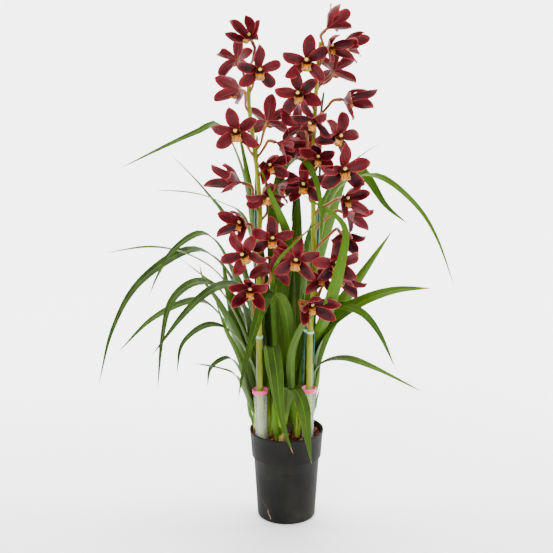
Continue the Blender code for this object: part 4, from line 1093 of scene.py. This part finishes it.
# Each shoot: where its sheaths stand (x, y), then its leaves as (width, facing, roll, tone, dry, points).
# The blade faces the compass angle `facing` (0 is +X, 90 is +Y) and rolls by `roll` degrees towards its tip.
# Tone runs from a dark leaf at 0 to a pale one at 1, and a tone below 0 is painted shade for a leaf that lies
# in the plant's shadow. Dry is the share of its length that is dead at the tip.
SHOOTS = {
    "shoot_left_front": ([(-4.7, -0.2), (-2.8, -0.8)], [
        (1.3, 235, -20, 0.25, 0, [(-4.9, -0.3, 17), (-6.6, -3, 22.5), (-8, -4.9, 26),
            (-10.5, -5.9, 27.5), (-14.5, -6.5, 28.5)]),
        (1.4, 225, -15, 0.15, 0.04, [(-4.9, -0.2, 17), (-6.2, -1.8, 22), (-7.8, -3.1, 27),
            (-9.5, -3.7, 28.5), (-12, -4.2, 27), (-12.6, -4.4, 24)]),
        (1.2, 240, 0, 0.05, 0, [(-4.9, -0.2, 17), (-7.2, -1.8, 27), (-9.5, -2.6, 32.5),
            (-11.2, -2.8, 37.5)]),
        (1.5, 225, -20, 0.2, 0, [(-3, -0.7, 17), (-5.4, -0.5, 26), (-8.5, -1.9, 32),
            (-12.5, -2.3, 33.5), (-16.5, -2.6, 30.5), (-17.5, -2.8, 25.5)]),
        (1.9, 225, -25, 0.1, 0, [(-2.9, -0.7, 17), (-3.6, -0.2, 30), (-5.3, -0.6, 37.5),
            (-8.5, -3.4, 40.5), (-12, -5.2, 40), (-16, -6.2, 36.5), (-21, -7, 30)]),
        (1.6, 220, -20, 0.15, 0, [(-2.9, -0.6, 17), (-5.5, -0.2, 28), (-10, -1.6, 38.5),
            (-14, -3.6, 41), (-18, -4, 38), (-19.6, -4, 32), (-20.5, -4, 23.5)]),
    ]),
    "shoot_left_back": ([(-4.2, 1.2), (-2.8, 3)], [
        (1.8, 235, 0, 0.05, 0, [(-4.4, 1.2, 17), (-7.4, 0.6, 29), (-10.5, 0, 36), (-13, -0.4, 40),
            (-13.8, -0.6, 43)]),
        (1.6, 220, -20, 0.3, 0, [(-4.4, 1.3, 17), (-7.6, 1.6, 28), (-11, 1.4, 34.5),
            (-15, 1.2, 36.5), (-21.5, 0.8, 33.5), (-27, 0.6, 28)]),
        (1.8, 225, -20, 0.15, 0, [(-4.3, 1.4, 17), (-6.6, 2, 34), (-10, 2.6, 44),
            (-13.5, 2.6, 47.2), (-18, 2.4, 44.5), (-20.5, 2.2, 40.5), (-22, 2, 37)]),
        (2, 250, 0, 0, 0, [(-4.2, 1.4, 17), (-5.8, 2, 26), (-8.2, 2.4, 33), (-9.6, 2.4, 39),
            (-10.4, 2.4, 43.5)]),
        (1.4, 225, -15, 0.25, 0, [(-3, 3, 17), (-6.2, 3.6, 30), (-10, 3.8, 39), (-15, 4, 43),
            (-21.5, 4.2, 44.5), (-29, 4.2, 43.5)]),
        (1.5, 225, -20, 0.1, 0.02, [(-2.9, 3.1, 17), (-6, 4.4, 32), (-10.5, 5, 41.5),
            (-16, 5.4, 43.6), (-24, 5.6, 38), (-28.5, 5.6, 30), (-31, 5.6, 20.5)]),
        (1.3, 230, 0, 0.15, 0, [(-2.8, 3.2, 17), (-5.2, 5.4, 33), (-9, 6.6, 47), (-13, 7, 53),
            (-18.5, 7.2, 59)]),
    ]),
    "shoot_back": ([(-0.4, 3.9)], [
        (1.3, 240, -10, 0.5, 0, [(-0.6, 3.9, 17), (-3.5, 6.8, 28), (-8.5, 8, 35), (-13, 8.2, 38),
            (-17.5, 8.4, 41.5)]),
        (1.6, 250, 0, 0.35, 0, [(-0.5, 3.9, 17), (-3.4, 5, 36), (-5.6, 5.6, 52), (-7, 5.8, 60),
            (-8.2, 5.9, 65.5)]),
        (1.2, 245, 0, 0.4, 0, [(-0.6, 4.1, 17), (-4.5, 7.6, 30), (-8.5, 9.6, 39), (-11.5, 10, 42)]),
        (1.9, 290, 15, 0.55, 0, [(-0.3, 3.9, 17), (3, 5, 42), (6.6, 5.6, 53), (10, 5.6, 57.6),
            (14.5, 5.6, 61)]),
        (3.0, 280, 10, 0.7, 0, [(-0.2, 4, 17), (4.2, 6.6, 40), (8, 7.2, 53.5), (10.4, 7.4, 57),
            (13, 7.4, 55), (16, 7.4, 50.5), (19.5, 7.4, 47.5)]),
    ]),
    "shoot_middle": ([(-2.3, 1.1), (0.1, 0.4)], [
        (1.8, 225, -25, 0.35, 0, [(-2.4, 1, 17), (-4.4, 0.6, 36), (-5.8, 0.7, 52), (-7.6, 0.8, 60),
            (-10.5, 0.8, 65), (-14, 0.8, 63.8), (-19, 0.8, 61.5), (-26, 0.8, 58)]),
        (1.5, 225, -15, 0.55, 0, [(-2.4, 1.3, 17), (-4, 2.8, 38), (-6.5, 3.6, 49),
            (-10.5, 3.8, 52), (-15, 4, 53.4), (-21, 4.2, 53.8)]),
        (2.4, 270, 0, -0.15, -0.05, [(0.1, 0.6, 17), (0.8, 0.9, 36), (1.5, 0.8, 47), (1.6, 0.1, 52.8),
            (1.4, -0.9, 54), (1.0, -1.9, 52.4), (0.7, -2.3, 50)]),
        (1.7, 270, 0, 0.55, 0.015, [(0, 0.3, 17), (-1.6, 0.4, 36), (-2.2, -0.2, 49),
            (-1.2, -1.4, 56.5), (-0.2, -3.2, 59.6), (1.6, -5, 60.8), (3.4, -6.8, 60),
            (4.6, -7.9, 57), (5.2, -8.2, 53), (5.1, -8.2, 48)]),
        (1.9, 290, 0, -0.2, 0, [(0.1, 0.5, 17), (-0.4, 1.8, 32), (-0.8, 2.2, 42), (-1, 2.3, 47)]),
    ]),
    "shoot_front": ([(-0.7, -4.2), (-0.8, -1.9)], [
        (1.9, 270, 0, 0.35, 0.02, [(-0.8, -4.3, 17), (-1.7, -4.8, 23.5), (-2.5, -5.3, 28.8),
            (-2.3, -6, 31.3), (-1.6, -6.7, 27), (-1, -7, 21), (-0.2, -7.1, 17), (1, -7.1, 13.5)]),
        (1.9, 285, 0, 0.35, 0, [(-0.6, -4.3, 17), (-0.1, -4.9, 21), (0.4, -5.6, 24),
            (1.6, -6.6, 23.8), (2.7, -7.1, 21), (3.2, -7.3, 17), (3.9, -7.4, 12)]),
        (1.9, 250, 0, 0.2, 0.03, [(-0.7, -1.9, 17), (0.4, -1.9, 26), (0.3, -3, 33),
            (-0.6, -4.6, 38), (-2.3, -5.6, 39.9), (-3.8, -6, 38), (-5.6, -6.5, 32), (-7, -7, 26.5),
            (-7.6, -7.2, 23)]),
        (1.9, 270, 0, 0.45, 0, [(-0.8, -1.9, 17), (-1.2, -1.6, 33), (0, -3, 45), (0, -3.8, 48.3),
            (-0.8, -5.8, 51.5), (-2.6, -7.4, 56), (-4.5, -7.6, 61)]),
        (0.8, 285, 10, 0.5, 0, [(-0.9, -2, 17), (-2, -3, 34), (-2.2, -4.2, 41), (-1.4, -6.4, 45),
            (1, -7.2, 48), (4.2, -7.2, 51), (8, -6.4, 53.5)]),
    ]),
    "shoot_right_front": ([(1.5, -1.3)], [
        (1.7, 300, 20, 0.4, 0.02, [(1.4, -1.4, 17), (0.7, -3.2, 24), (0.7, -4.2, 29),
            (1.8, -4.5, 32.8), (3.2, -4.4, 35), (6.2, -4.5, 37.2), (9, -4.9, 37.4),
            (12, -5.4, 36.2), (14.5, -5.7, 33), (17, -5.8, 27.5)]),
        (1.8, 270, 0, 0.65, 0, [(1.6, -1.4, 17), (2.2, 0.4, 22), (3.6, 1.0, 27), (4.9, -0.4, 31),
            (6.0, -4.4, 35.5), (7.0, -7.0, 39.8), (8.1, -7.8, 44.5), (8.9, -8.0, 49.5), (7.9, -7.7, 52),
            (5.2, -7.4, 53.8), (2.4, -7.0, 55.6)]),
    ]),
    "shoot_right_back": ([(3.1, 1.2)], [
        (2.0, 272, 0, 0.75, 0, [(3.2, 1.1, 17), (5.2, 1.6, 28), (8.4, 2, 35), (13, 1, 42.5),
            (16.5, 0.4, 48)]),
        (2.8, 320, 50, 0.55, 0.04, [(3.4, 0.9, 17), (5, 0.6, 28.5), (7.6, -0.8, 34),
            (12, -2.6, 37.6), (17, -3.6, 39.6), (22.5, -4, 40)]),
        (1.2, 290, 10, 0.7, 0, [(2.9, 1.5, 17), (4, 2.8, 40), (6.6, 3.4, 52), (10, 3.5, 55.8),
            (15, 3.6, 56), (20.5, 3.6, 51.5), (24, 3.6, 46), (27, 3.6, 38)]),
        (1.2, 325, 20, 0.6, 0, [(3.2, 1, 17), (3.9, 0.6, 22.5), (5.4, -0.2, 26.2), (9, -2.4, 28),
            (13.5, -3.8, 27), (21.5, -4.5, 23)]),
    ]),
}

# Small leaves that fill the crown, in the same form, each on the shoot that bears it.
SMALL_LEAVES = {
    "shoot_front": [
        (1.5, 285, 0, -0.2, 0, [(-0.6, -1.2, 17), (0.4, 0.0, 28), (0.9, 0.2, 38), (1.1, 0.0, 44)]),
        (1.6, 260, 0, -0.15, 0, [(-1.2, -1.0, 17), (-2.0, 0.2, 27), (-2.4, 0.4, 35), (-2.4, 0.2, 41)]),
        (0.9, 265, 0, 0.85, 0, [(-1.6, -3.9, 14.5), (-1.9, -4.5, 18), (-2.2, -4.9, 21.5)]),
        (1.0, 280, 0, 0.9, 0, [(-1.3, -2.4, 15), (-1.5, -2.9, 20), (-2.0, -3.0, 26)]),
        (0.6, 285, 0, 0.6, 0.6, [(-0.2, -4.6, 14.5), (0.3, -5.2, 17), (0.9, -5.4, 18.5)]),
    ],
    "shoot_middle": [
        (1.7, 270, 0, -0.25, 0, [(0.3, 1.0, 17), (1.0, 1.6, 30), (1.2, 1.8, 40), (1.4, 1.8, 46)]),
        (1.5, 260, 0, -0.23, 0, [(-2.0, 1.4, 17), (-2.6, 1.9, 28), (-3.0, 2.0, 37), (-3.1, 2.0, 42)]),
        (1.2, 290, 0, 0.25, 0, [(0.6, 0.2, 16), (1.4, -0.2, 24), (1.8, -0.2, 31)]),
        (1.4, 275, 0, -0.1, 0, [(-0.4, 0.6, 17), (-0.2, 1.2, 27), (0.2, 1.4, 36)]),
    ],
    "shoot_right_front": [
        (1.7, 272, 0, -0.1, 0, [(1.6, -0.4, 17), (2.1, 0.8, 27), (2.7, 1.2, 38)]),
        (1.5, 275, 0, -0.2, 0, [(2.2, 0.2, 17), (3.0, 0.9, 25), (3.3, 1.2, 33)]),
        (1.0, 300, 0, 0.8, 0, [(1.8, -1.2, 16), (2.4, -0.8, 24), (2.9, -0.6, 30)]),
        (0.8, 270, 0, 0.9, 0, [(1.2, -1.9, 15), (1.0, -2.7, 20), (0.8, -3.0, 25)]),
    ],
    "shoot_right_back": [
        (0.9, 310, 10, 0.7, 0, [(3.7, 1.0, 16), (4.7, 0.8, 21), (5.6, 0.6, 27)]),
        (0.7, 310, 10, 0.6, 0, [(3.7, 0.8, 15), (4.7, 0.6, 19), (5.4, 0.6, 22)]),
        (1.2, 300, 0, 0.8, 0, [(3.0, 1.3, 17), (3.6, 1.8, 28), (4.1, 2.0, 36)]),
    ],
    "shoot_left_front": [
        (0.7, 235, 0, 0.55, 0.05, [(-5.1, -0.2, 15), (-5.9, -0.8, 18), (-6.4, -1.0, 21.5)]),
        (1.3, 250, 0, -0.05, 0, [(-3.0, -0.6, 17), (-4.2, -0.3, 27), (-5.4, -0.3, 36)]),
    ],
    "shoot_left_back": [
        (1.3, 250, 0, 0, 0, [(-2.9, 3.0, 17), (-4.0, 3.5, 29), (-5.0, 3.7, 38)]),
    ],
    "shoot_back": [
        (1.4, 270, 0, -0.2, 0, [(-0.2, 3.9, 17), (0.6, 4.4, 32), (1.0, 4.6, 44)]),
        (1.2, 100, 0, 0.05, 0, [(-0.3, 4.3, 17), (0.2, 5.6, 28), (0.6, 7.6, 34), (0.8, 10, 34.5)]),
    ],
}


def add_leaf(skin, width, facing, roll, tone, dry, points, rng, rows=54):
    """A strap leaf: narrow and folded at its foot, keeled along its length, drawn to a point."""
    columns = 11
    path = smooth_path(np.array(points) * CM, rows - 1)
    share = np.linspace(0, 1, rows)
    along = directions(path)
    facing = math.radians(facing)
    level = np.array((-math.sin(facing), math.cos(facing), 0))
    side = unit(level - along * (along @ level)[:, None])
    sway = rng.uniform(-0.10, 0.10) * np.sin(share * rng.uniform(5, 9) + rng.uniform(0, 6))
    side = turn_about(side, along, math.radians(roll) * np.minimum(share / 0.5, 1) + sway)
    back = np.cross(along, side)
    taper = np.minimum(1, ((1 - share) / 0.42) ** 0.85)
    widening = along_curve(share, [(0, 0.55), (0.15, 0.80), (0.3, 0.99), (1, 1.0)])
    half = width * CM / 2 * widening * taper + 0.12 * MM
    fold = KEEL_DEPTH + 0.75 * np.clip(1 - share / 0.30, 0, 1) ** 1.5
    u = np.linspace(1, -1, columns)
    drop = fold[:, None] * half[:, None] * (1 - np.abs(u) ** 1.25)
    inward = 1 - 0.25 * (fold[:, None] - KEEL_DEPTH)
    waver = 0.5 * MM * np.sin(share * rng.uniform(14, 22) + rng.uniform(0, 6))[:, None] * u * np.abs(u)
    grid = (path[:, None] + side[:, None] * (u * half[:, None] * inward)[..., None]
            + back[:, None] * (waver * taper[:, None] - drop)[..., None])
    thick = LEAF_THICKNESS * (1 - 0.45 * np.abs(u))[None, :] * (0.55 + 0.45 * taper[:, None])
    fresh = 0.75 * np.clip(1 - share / 0.16, 0, 1) ** 1.3
    # Painted shade: every leaf's tone is lowered over its lower part, which lies in the shade of the crown.
    shaded = tone - 0.75 * np.clip(1 - share / 0.6, 0, 1) ** 0.7
    skin.sheet(grid, thick, BLADE, along=share[:, None], across=u[None, :], tone=shaded[:, None], dry=dry,
               fresh=fresh[:, None])


def add_sheath(skin, foot, turn, height, width, lean, finish, rng):
    """A short leaf foot that clasps the growth, open at its top."""
    rows, columns = 15, 11
    share = np.linspace(0, 1, rows)
    outward = np.array((math.cos(turn), math.sin(turn), 0))
    side = np.cross(UP, outward)
    away = SHEATH_RADIUS * along_curve(share, [(0, 0.82), (0.25, 1.05), (1, 0.55)])
    away = away + lean * height * share ** 2.2
    half = width / 2 * along_curve(share, [(0, 1.0), (0.35, 0.95), (0.75, 0.62), (1, 0.06)])
    bend = along_curve(share, [(0, 1.5), (0.5, 1.2), (1, 0.45)])[:, None]
    u = np.linspace(1, -1, columns)
    sideways = half[:, None] * np.sin(u * bend) / bend
    wrap = half[:, None] * (1 - np.cos(u * bend)) / bend
    grid = (foot + UP * (share * height)[:, None, None] + side * sideways[..., None]
            + outward * (away[:, None] - wrap)[..., None])
    skin.sheet(grid[:, ::-1], 0.7 * MM, finish, along=share[:, None], across=u[None, :],
               tone=rng.uniform(0.2, 0.9))


def make_shoot(name, roots, leaves, finishes):
    """One growth: a swollen base in its sheaths at each root, husks of older leaves, and the leaves."""
    rng = random.Random(name)
    skin = Skin()
    for x, y in roots:
        foot = np.array((x * CM, y * CM, BARK_TOP - 4.5 * MM))
        low = y < -3  # The growth at the pot's front is an old one, with husks alone.
        share = np.linspace(0, 1, 12)
        swell = SHEATH_RADIUS * along_curve(share, [(0, 0.75), (0.3, 0.98), (0.7, 0.70), (1, 0.35)])
        height = (15 if low else 40) * MM
        skin.tube(foot + UP * (share * height)[:, None], swell, 16, finish=SHEATH, tone=0.5)
        first = rng.uniform(0, 2 * math.pi)
        for i in range(3 if low else 6):
            turn = first + math.pi * i + rng.uniform(-0.35, 0.35)
            height = (13 + 5 * i if low else 24 + 9 * i + rng.uniform(-3, 3)) * MM
            husk = low or (i < 2 and rng.random() < 0.8)
            lean = rng.uniform(0.0, 0.16) + 0.1 * husk
            if husk:
                height *= 0.8
            add_sheath(skin, foot, turn, height, 17 * MM, lean, HUSK if husk else SHEATH, rng)
    for leaf in leaves:
        add_leaf(skin, *leaf, rng)
    for leaf in SMALL_LEAVES.get(name, []):
        add_leaf(skin, *leaf, rng, rows=24)
    if len(roots) > 1:
        level = BARK_TOP + 5 * MM
        ends = [np.array((x * CM, y * CM, level)) for x, y in roots]
        skin.tube([ends[0] + (ends[1] - ends[0]) * s for s in np.linspace(0, 1, 8)],
                  np.array((5.2, 5.6, 5.3, 4.8, 4.8, 5.3, 5.6, 5.2)) * MM, 14, finish=SHEATH, tone=0.3)
    settle(skin.piece(f"leaves_{name[6:]}", finishes), "leaf", name)


# ---------------------------------------------------------------------------------------- supports


def slanted(name, outline, foot, top, steps, finish):
    """A turned piece whose axis runs from its foot to its top."""
    obj = turned(name, outline, steps, finish)
    axis = Vector(top - foot)
    turn = Vector((0, 0, 1)).rotation_difference(axis).to_matrix().to_4x4()
    obj.data.transform(Matrix.Translation(Vector(foot)) @ turn)
    return obj


def make_sleeve(side, sleeve_material, ring_material):
    """The sleeve round a stem's foot, and the ring round the sleeve's top."""
    path = stem_line(side)
    foot, top = at_height(path, SLEEVE_FOOT + GAP), at_height(path, SLEEVE_FOOT + SLEEVE_HEIGHT)
    height = np.linalg.norm(top - foot)
    taper = SLEEVE_FOOT_RADIUS - SLEEVE_TOP_RADIUS
    outer = [(SLEEVE_TOP_RADIUS + taper * i / 10, height * (1 - i / 10)) for i in range(11)]
    lip = [(SLEEVE_TOP_RADIUS - SLEEVE_WALL * 0.5, height + 0.25 * MM)]
    inner = [(radius - SLEEVE_WALL, level) for radius, level in reversed(outer)]
    sleeve = slanted(f"clear_sleeve_{side}", lip + outer + inner, foot, top, 56, sleeve_material)
    settle(sleeve, "sleeve_plastic", f"sleeve_{side}")
    low = height - RING_BELOW_TOP
    high = low + RING_HEIGHT
    bore = SLEEVE_TOP_RADIUS + GAP * 0.4
    soft = 0.9 * MM
    band = [(bore, high - 0.3 * MM), *rounded((RING_OUTER_RADIUS - soft, high - soft), soft, 100, 0, 5),
            (RING_OUTER_RADIUS - 0.25 * MM, (low + high) / 2),
            *rounded((RING_OUTER_RADIUS - soft, low + soft), soft, 0, -100, 5), (bore, low + 0.3 * MM)]
    ring = slanted(f"pink_ring_{side}", band, foot, top, 64, ring_material)
    settle(ring, "ring_plastic", f"ring_{side}")


def stake_line(name):
    """The smooth centre line of this stake."""
    return smooth_path(np.array(STAKES[name]) * CM, 70)


def make_stake(name, finish):
    """A coated stake with a rounded tip."""
    path = stake_line(name)
    radii = np.full(len(path), STAKE_RADIUS)
    radii[-3:] = STAKE_RADIUS * np.array((0.97, 0.8, 0.35))
    path[-3:] = path[-4] + (path[-1] - path[-4]) * np.array((0.5, 0.8, 0.95))[:, None]
    skin = Skin()
    skin.tube(path, radii, 16)
    settle(skin.piece(f"coated_{name}", [finish]), "stake_plastic", name)


def add_band(skin, centre, bore, wall, tall):
    """A plain band with softened edges, standing round a stem or a stake."""
    upper = [(bore, tall * 0.42), (bore + wall * 0.3, tall / 2), (bore + wall * 0.8, tall * 0.47),
             (bore + wall, tall * 0.3)]
    skin.ring(upper + [(radius, -level) for radius, level in reversed(upper)], 32, centre)


def held_places(side, stake, height):
    """Where the stem and the stake pass this height, and the stem's radius there."""
    path = stem_line(side)
    return at_height(path, height), at_height(stake_line(stake), height), stem_radius(height, path)


def make_clip(name, side, stake, height, tall, finish):
    """A spring clip: a loop for the stem, a loop for the stake, the web between, and two finger tabs."""
    at_stem, at_stake, radius = held_places(side, stake, height)
    skin = Skin()
    add_band(skin, at_stem, radius * 1.10 + 0.2 * MM, CLIP_WALL, tall)
    add_band(skin, at_stake, STAKE_RADIUS + 0.3 * MM, CLIP_WALL, tall)
    toward = unit(at_stake - at_stem)
    across = np.cross(UP, toward)
    for turned_out in (-1, 1):
        start = at_stem + toward * radius * 0.9 + across * turned_out * 1.3 * MM
        end = at_stake - toward * STAKE_RADIUS * 0.6 + across * turned_out * 1.1 * MM
        line = [start + (end - start) * s for s in np.linspace(0, 1, 6)]
        skin.tube(line, np.full(6, tall * 0.34), 10, flat=0.5)
        root = at_stake + toward * (STAKE_RADIUS + CLIP_WALL) * 0.9 + across * turned_out * 0.6 * MM
        tab = [root + (across * turned_out * 1.5 + toward * 3.0) * MM * s for s in np.linspace(0, 1, 5)]
        skin.tube(tab, tall * np.array((0.34, 0.33, 0.32, 0.3, 0.2)), 10, flat=0.5)
    settle(skin.piece(f"spring_{name}", [finish], 40), "clip_plastic", name)


def make_tie(name, side, stake, height, finish):
    """A soft wire tie: once round the stem, once round the stake, its ends twisted together."""
    at_stem, at_stake, radius = held_places(side, stake, height)
    skin = Skin()
    toward = unit((at_stake - at_stem) * (1, 1, 0))
    across = np.cross(UP, toward)
    for centre, hold in ((at_stem, radius * 1.06 + WIRE_RADIUS), (at_stake, STAKE_RADIUS + WIRE_RADIUS)):
        loop = [centre + (toward * math.cos(a) + across * math.sin(a)) * hold + UP * 0.3 * MM * math.sin(a)
                for a in np.linspace(0, 2 * math.pi, 30)]
        skin.tube(loop, WIRE_RADIUS, 8)
    middle = at_stem + toward * (radius + WIRE_RADIUS)
    reach = np.linalg.norm((at_stake - middle) * (1, 1, 0)) - STAKE_RADIUS
    for phase in (0, math.pi):
        strand = [middle + toward * reach * s
                  + (across * math.cos(9 * s + phase) + UP * math.sin(9 * s + phase)) * WIRE_RADIUS * 0.8
                  for s in np.linspace(-0.1, 1.1, 18)]
        skin.tube(strand, WIRE_RADIUS * 0.85, 8)
        tail_end = (UP * (phase - 1.5) * 1.1 - across * 3 - toward) * MM
        skin.tube([middle + tail_end * s for s in np.linspace(0, 1, 8)], WIRE_RADIUS * 0.8, 8)
    settle(skin.piece(f"wire_{name}", [finish], 50), "tie", name)


# ---------------------------------------------------------------------------------------- studio

# Where the camera stands, how far it looks down in degrees, and its lens in millimetres.
CAMERA_PLACE = (-0.0163, -2.40, 1.10)
CAMERA_DIP = 16.1
CAMERA_LENS = 102.8

# Each soft light: its name, its place, the point that it faces, its width and its power.
LIGHTS = (
    ("key", (-1.1, -2.3, 2.3), (0, 0, 0.45), 1.0, 60),
    ("fill", (1.9, -1.7, 1.3), (0, 0, 0.4), 1.4, 28),
    ("top", (0.2, 0.3, 2.7), (0, 0, 0.5), 1.2, 36),
    ("floor_glow", (0.0, 0.9, 2.2), (0, 1.9, 0.0), 2.0, 110),
    ("backdrop_left", (-1.9, 0.4, 1.2), (-0.6, 2.7, 0.7), 1.2, 90),
    ("backdrop_right", (1.9, 0.4, 1.2), (0.6, 2.7, 0.7), 1.2, 90),
)


def floor_finish():
    """A matte, nearly white floor that glows a little."""
    made = Finish("pale_floor", Specular_IOR_Level=0.1, Emission_Color="#ffffff", Emission_Strength=0.4)
    cloud = made.grain(3, 2)
    made.feed(Base_Color=made.mix(cloud, "#fafafa", "#fdfdfd"), Roughness=0.9)
    return made.material


def make_floor():
    """A pale floor that curves up behind the plant."""
    bend = [(1.2 + 1.5 * math.sin(a), 1.5 - 1.5 * math.cos(a)) for a in np.linspace(0.1, math.pi / 2, 12)]
    rows = [[(x, y, z) for x in (-5.0, 0, 5.0)] for y, z in [(-4.0, 0), (0, 0), (1.2, 0), *bend, (2.7, 6.0)]]
    skin = Skin()
    skin.add(rows, grid_faces(len(rows), 3))
    skin.piece("floor", [floor_finish()])


def make_studio():
    """The floor, even daylight, the soft lights and the camera."""
    scene = bpy.context.scene
    make_floor()
    world = bpy.data.worlds.new("soft_daylight")
    scene.world = world
    world.use_nodes = True
    sky = world.node_tree.nodes["Background"]
    sky.inputs["Color"].default_value = (1, 1, 1, 1)
    sky.inputs["Strength"].default_value = 0.34
    for name, place, aim, width, power in LIGHTS:
        lamp = bpy.data.lights.new(name, "AREA")
        lamp.shape = "DISK"
        lamp.size = width
        lamp.energy = power
        light = bpy.data.objects.new(name, lamp)
        light.location = place
        light.rotation_euler = (Vector(aim) - Vector(place)).to_track_quat("-Z", "Y").to_euler()
        scene.collection.objects.link(light)
    lens = bpy.data.cameras.new("camera")
    lens.lens = CAMERA_LENS
    lens.sensor_width = 36
    camera = bpy.data.objects.new("camera", lens)
    camera.location = CAMERA_PLACE
    camera.rotation_euler = (math.radians(90 - CAMERA_DIP), 0, 0)
    scene.collection.objects.link(camera)
    scene.camera = camera


# ---------------------------------------------------------------------------------------- the plant

make_studio()
make_pot(pot_finish())
standing = [(Vector(root) * CM, SHEATH_RADIUS * 1.05) for roots, leaves in SHOOTS.values() for root in roots]
standing += [(Vector(at_height(stem_line(side), BARK_TOP)).xy, SLEEVE_FOOT_RADIUS * 1.16) for side in STEMS]
standing += [(Vector(points[0]).xy * CM, STAKE_RADIUS * 1.4) for points in STAKES.values()]
make_bark(bark_finish(), standing)
sleeve_material, ring_material = sleeve_finish(), ring_finish()
stem_materials = [stem_finish(), stalk_finish(), bract_finish()]
flower_materials = [tepal_finish(), lip_finish(), column_finish(), anther_finish(), stem_materials[1]]
for side, flowers in FLOWERS.items():
    make_sleeve(side, sleeve_material, ring_material)
    make_spike(side, flowers, stem_materials)
    for number, row in enumerate(flowers, 1):
        make_flower(f"{side}_{number:02d}", row, flower_materials)
stake_material = stake_finish()
for name in STAKES:
    make_stake(name, stake_material)
clip_material = clip_finish()
make_clip("clip_left", "left", "stake_left", 31.65 * CM, 4.5 * MM, clip_material)
make_clip("clip_right", "right", "stake_right_short", 32.15 * CM, 4.0 * MM, clip_material)
make_tie("tie_right", "right", "stake_right", 61.80 * CM, tie_finish())
leaf_materials = [leaf_finish(), sheath_finish(), dry_husk_finish()]
for name, (roots, leaves) in SHOOTS.items():
    make_shoot(name, roots, leaves, leaf_materials)
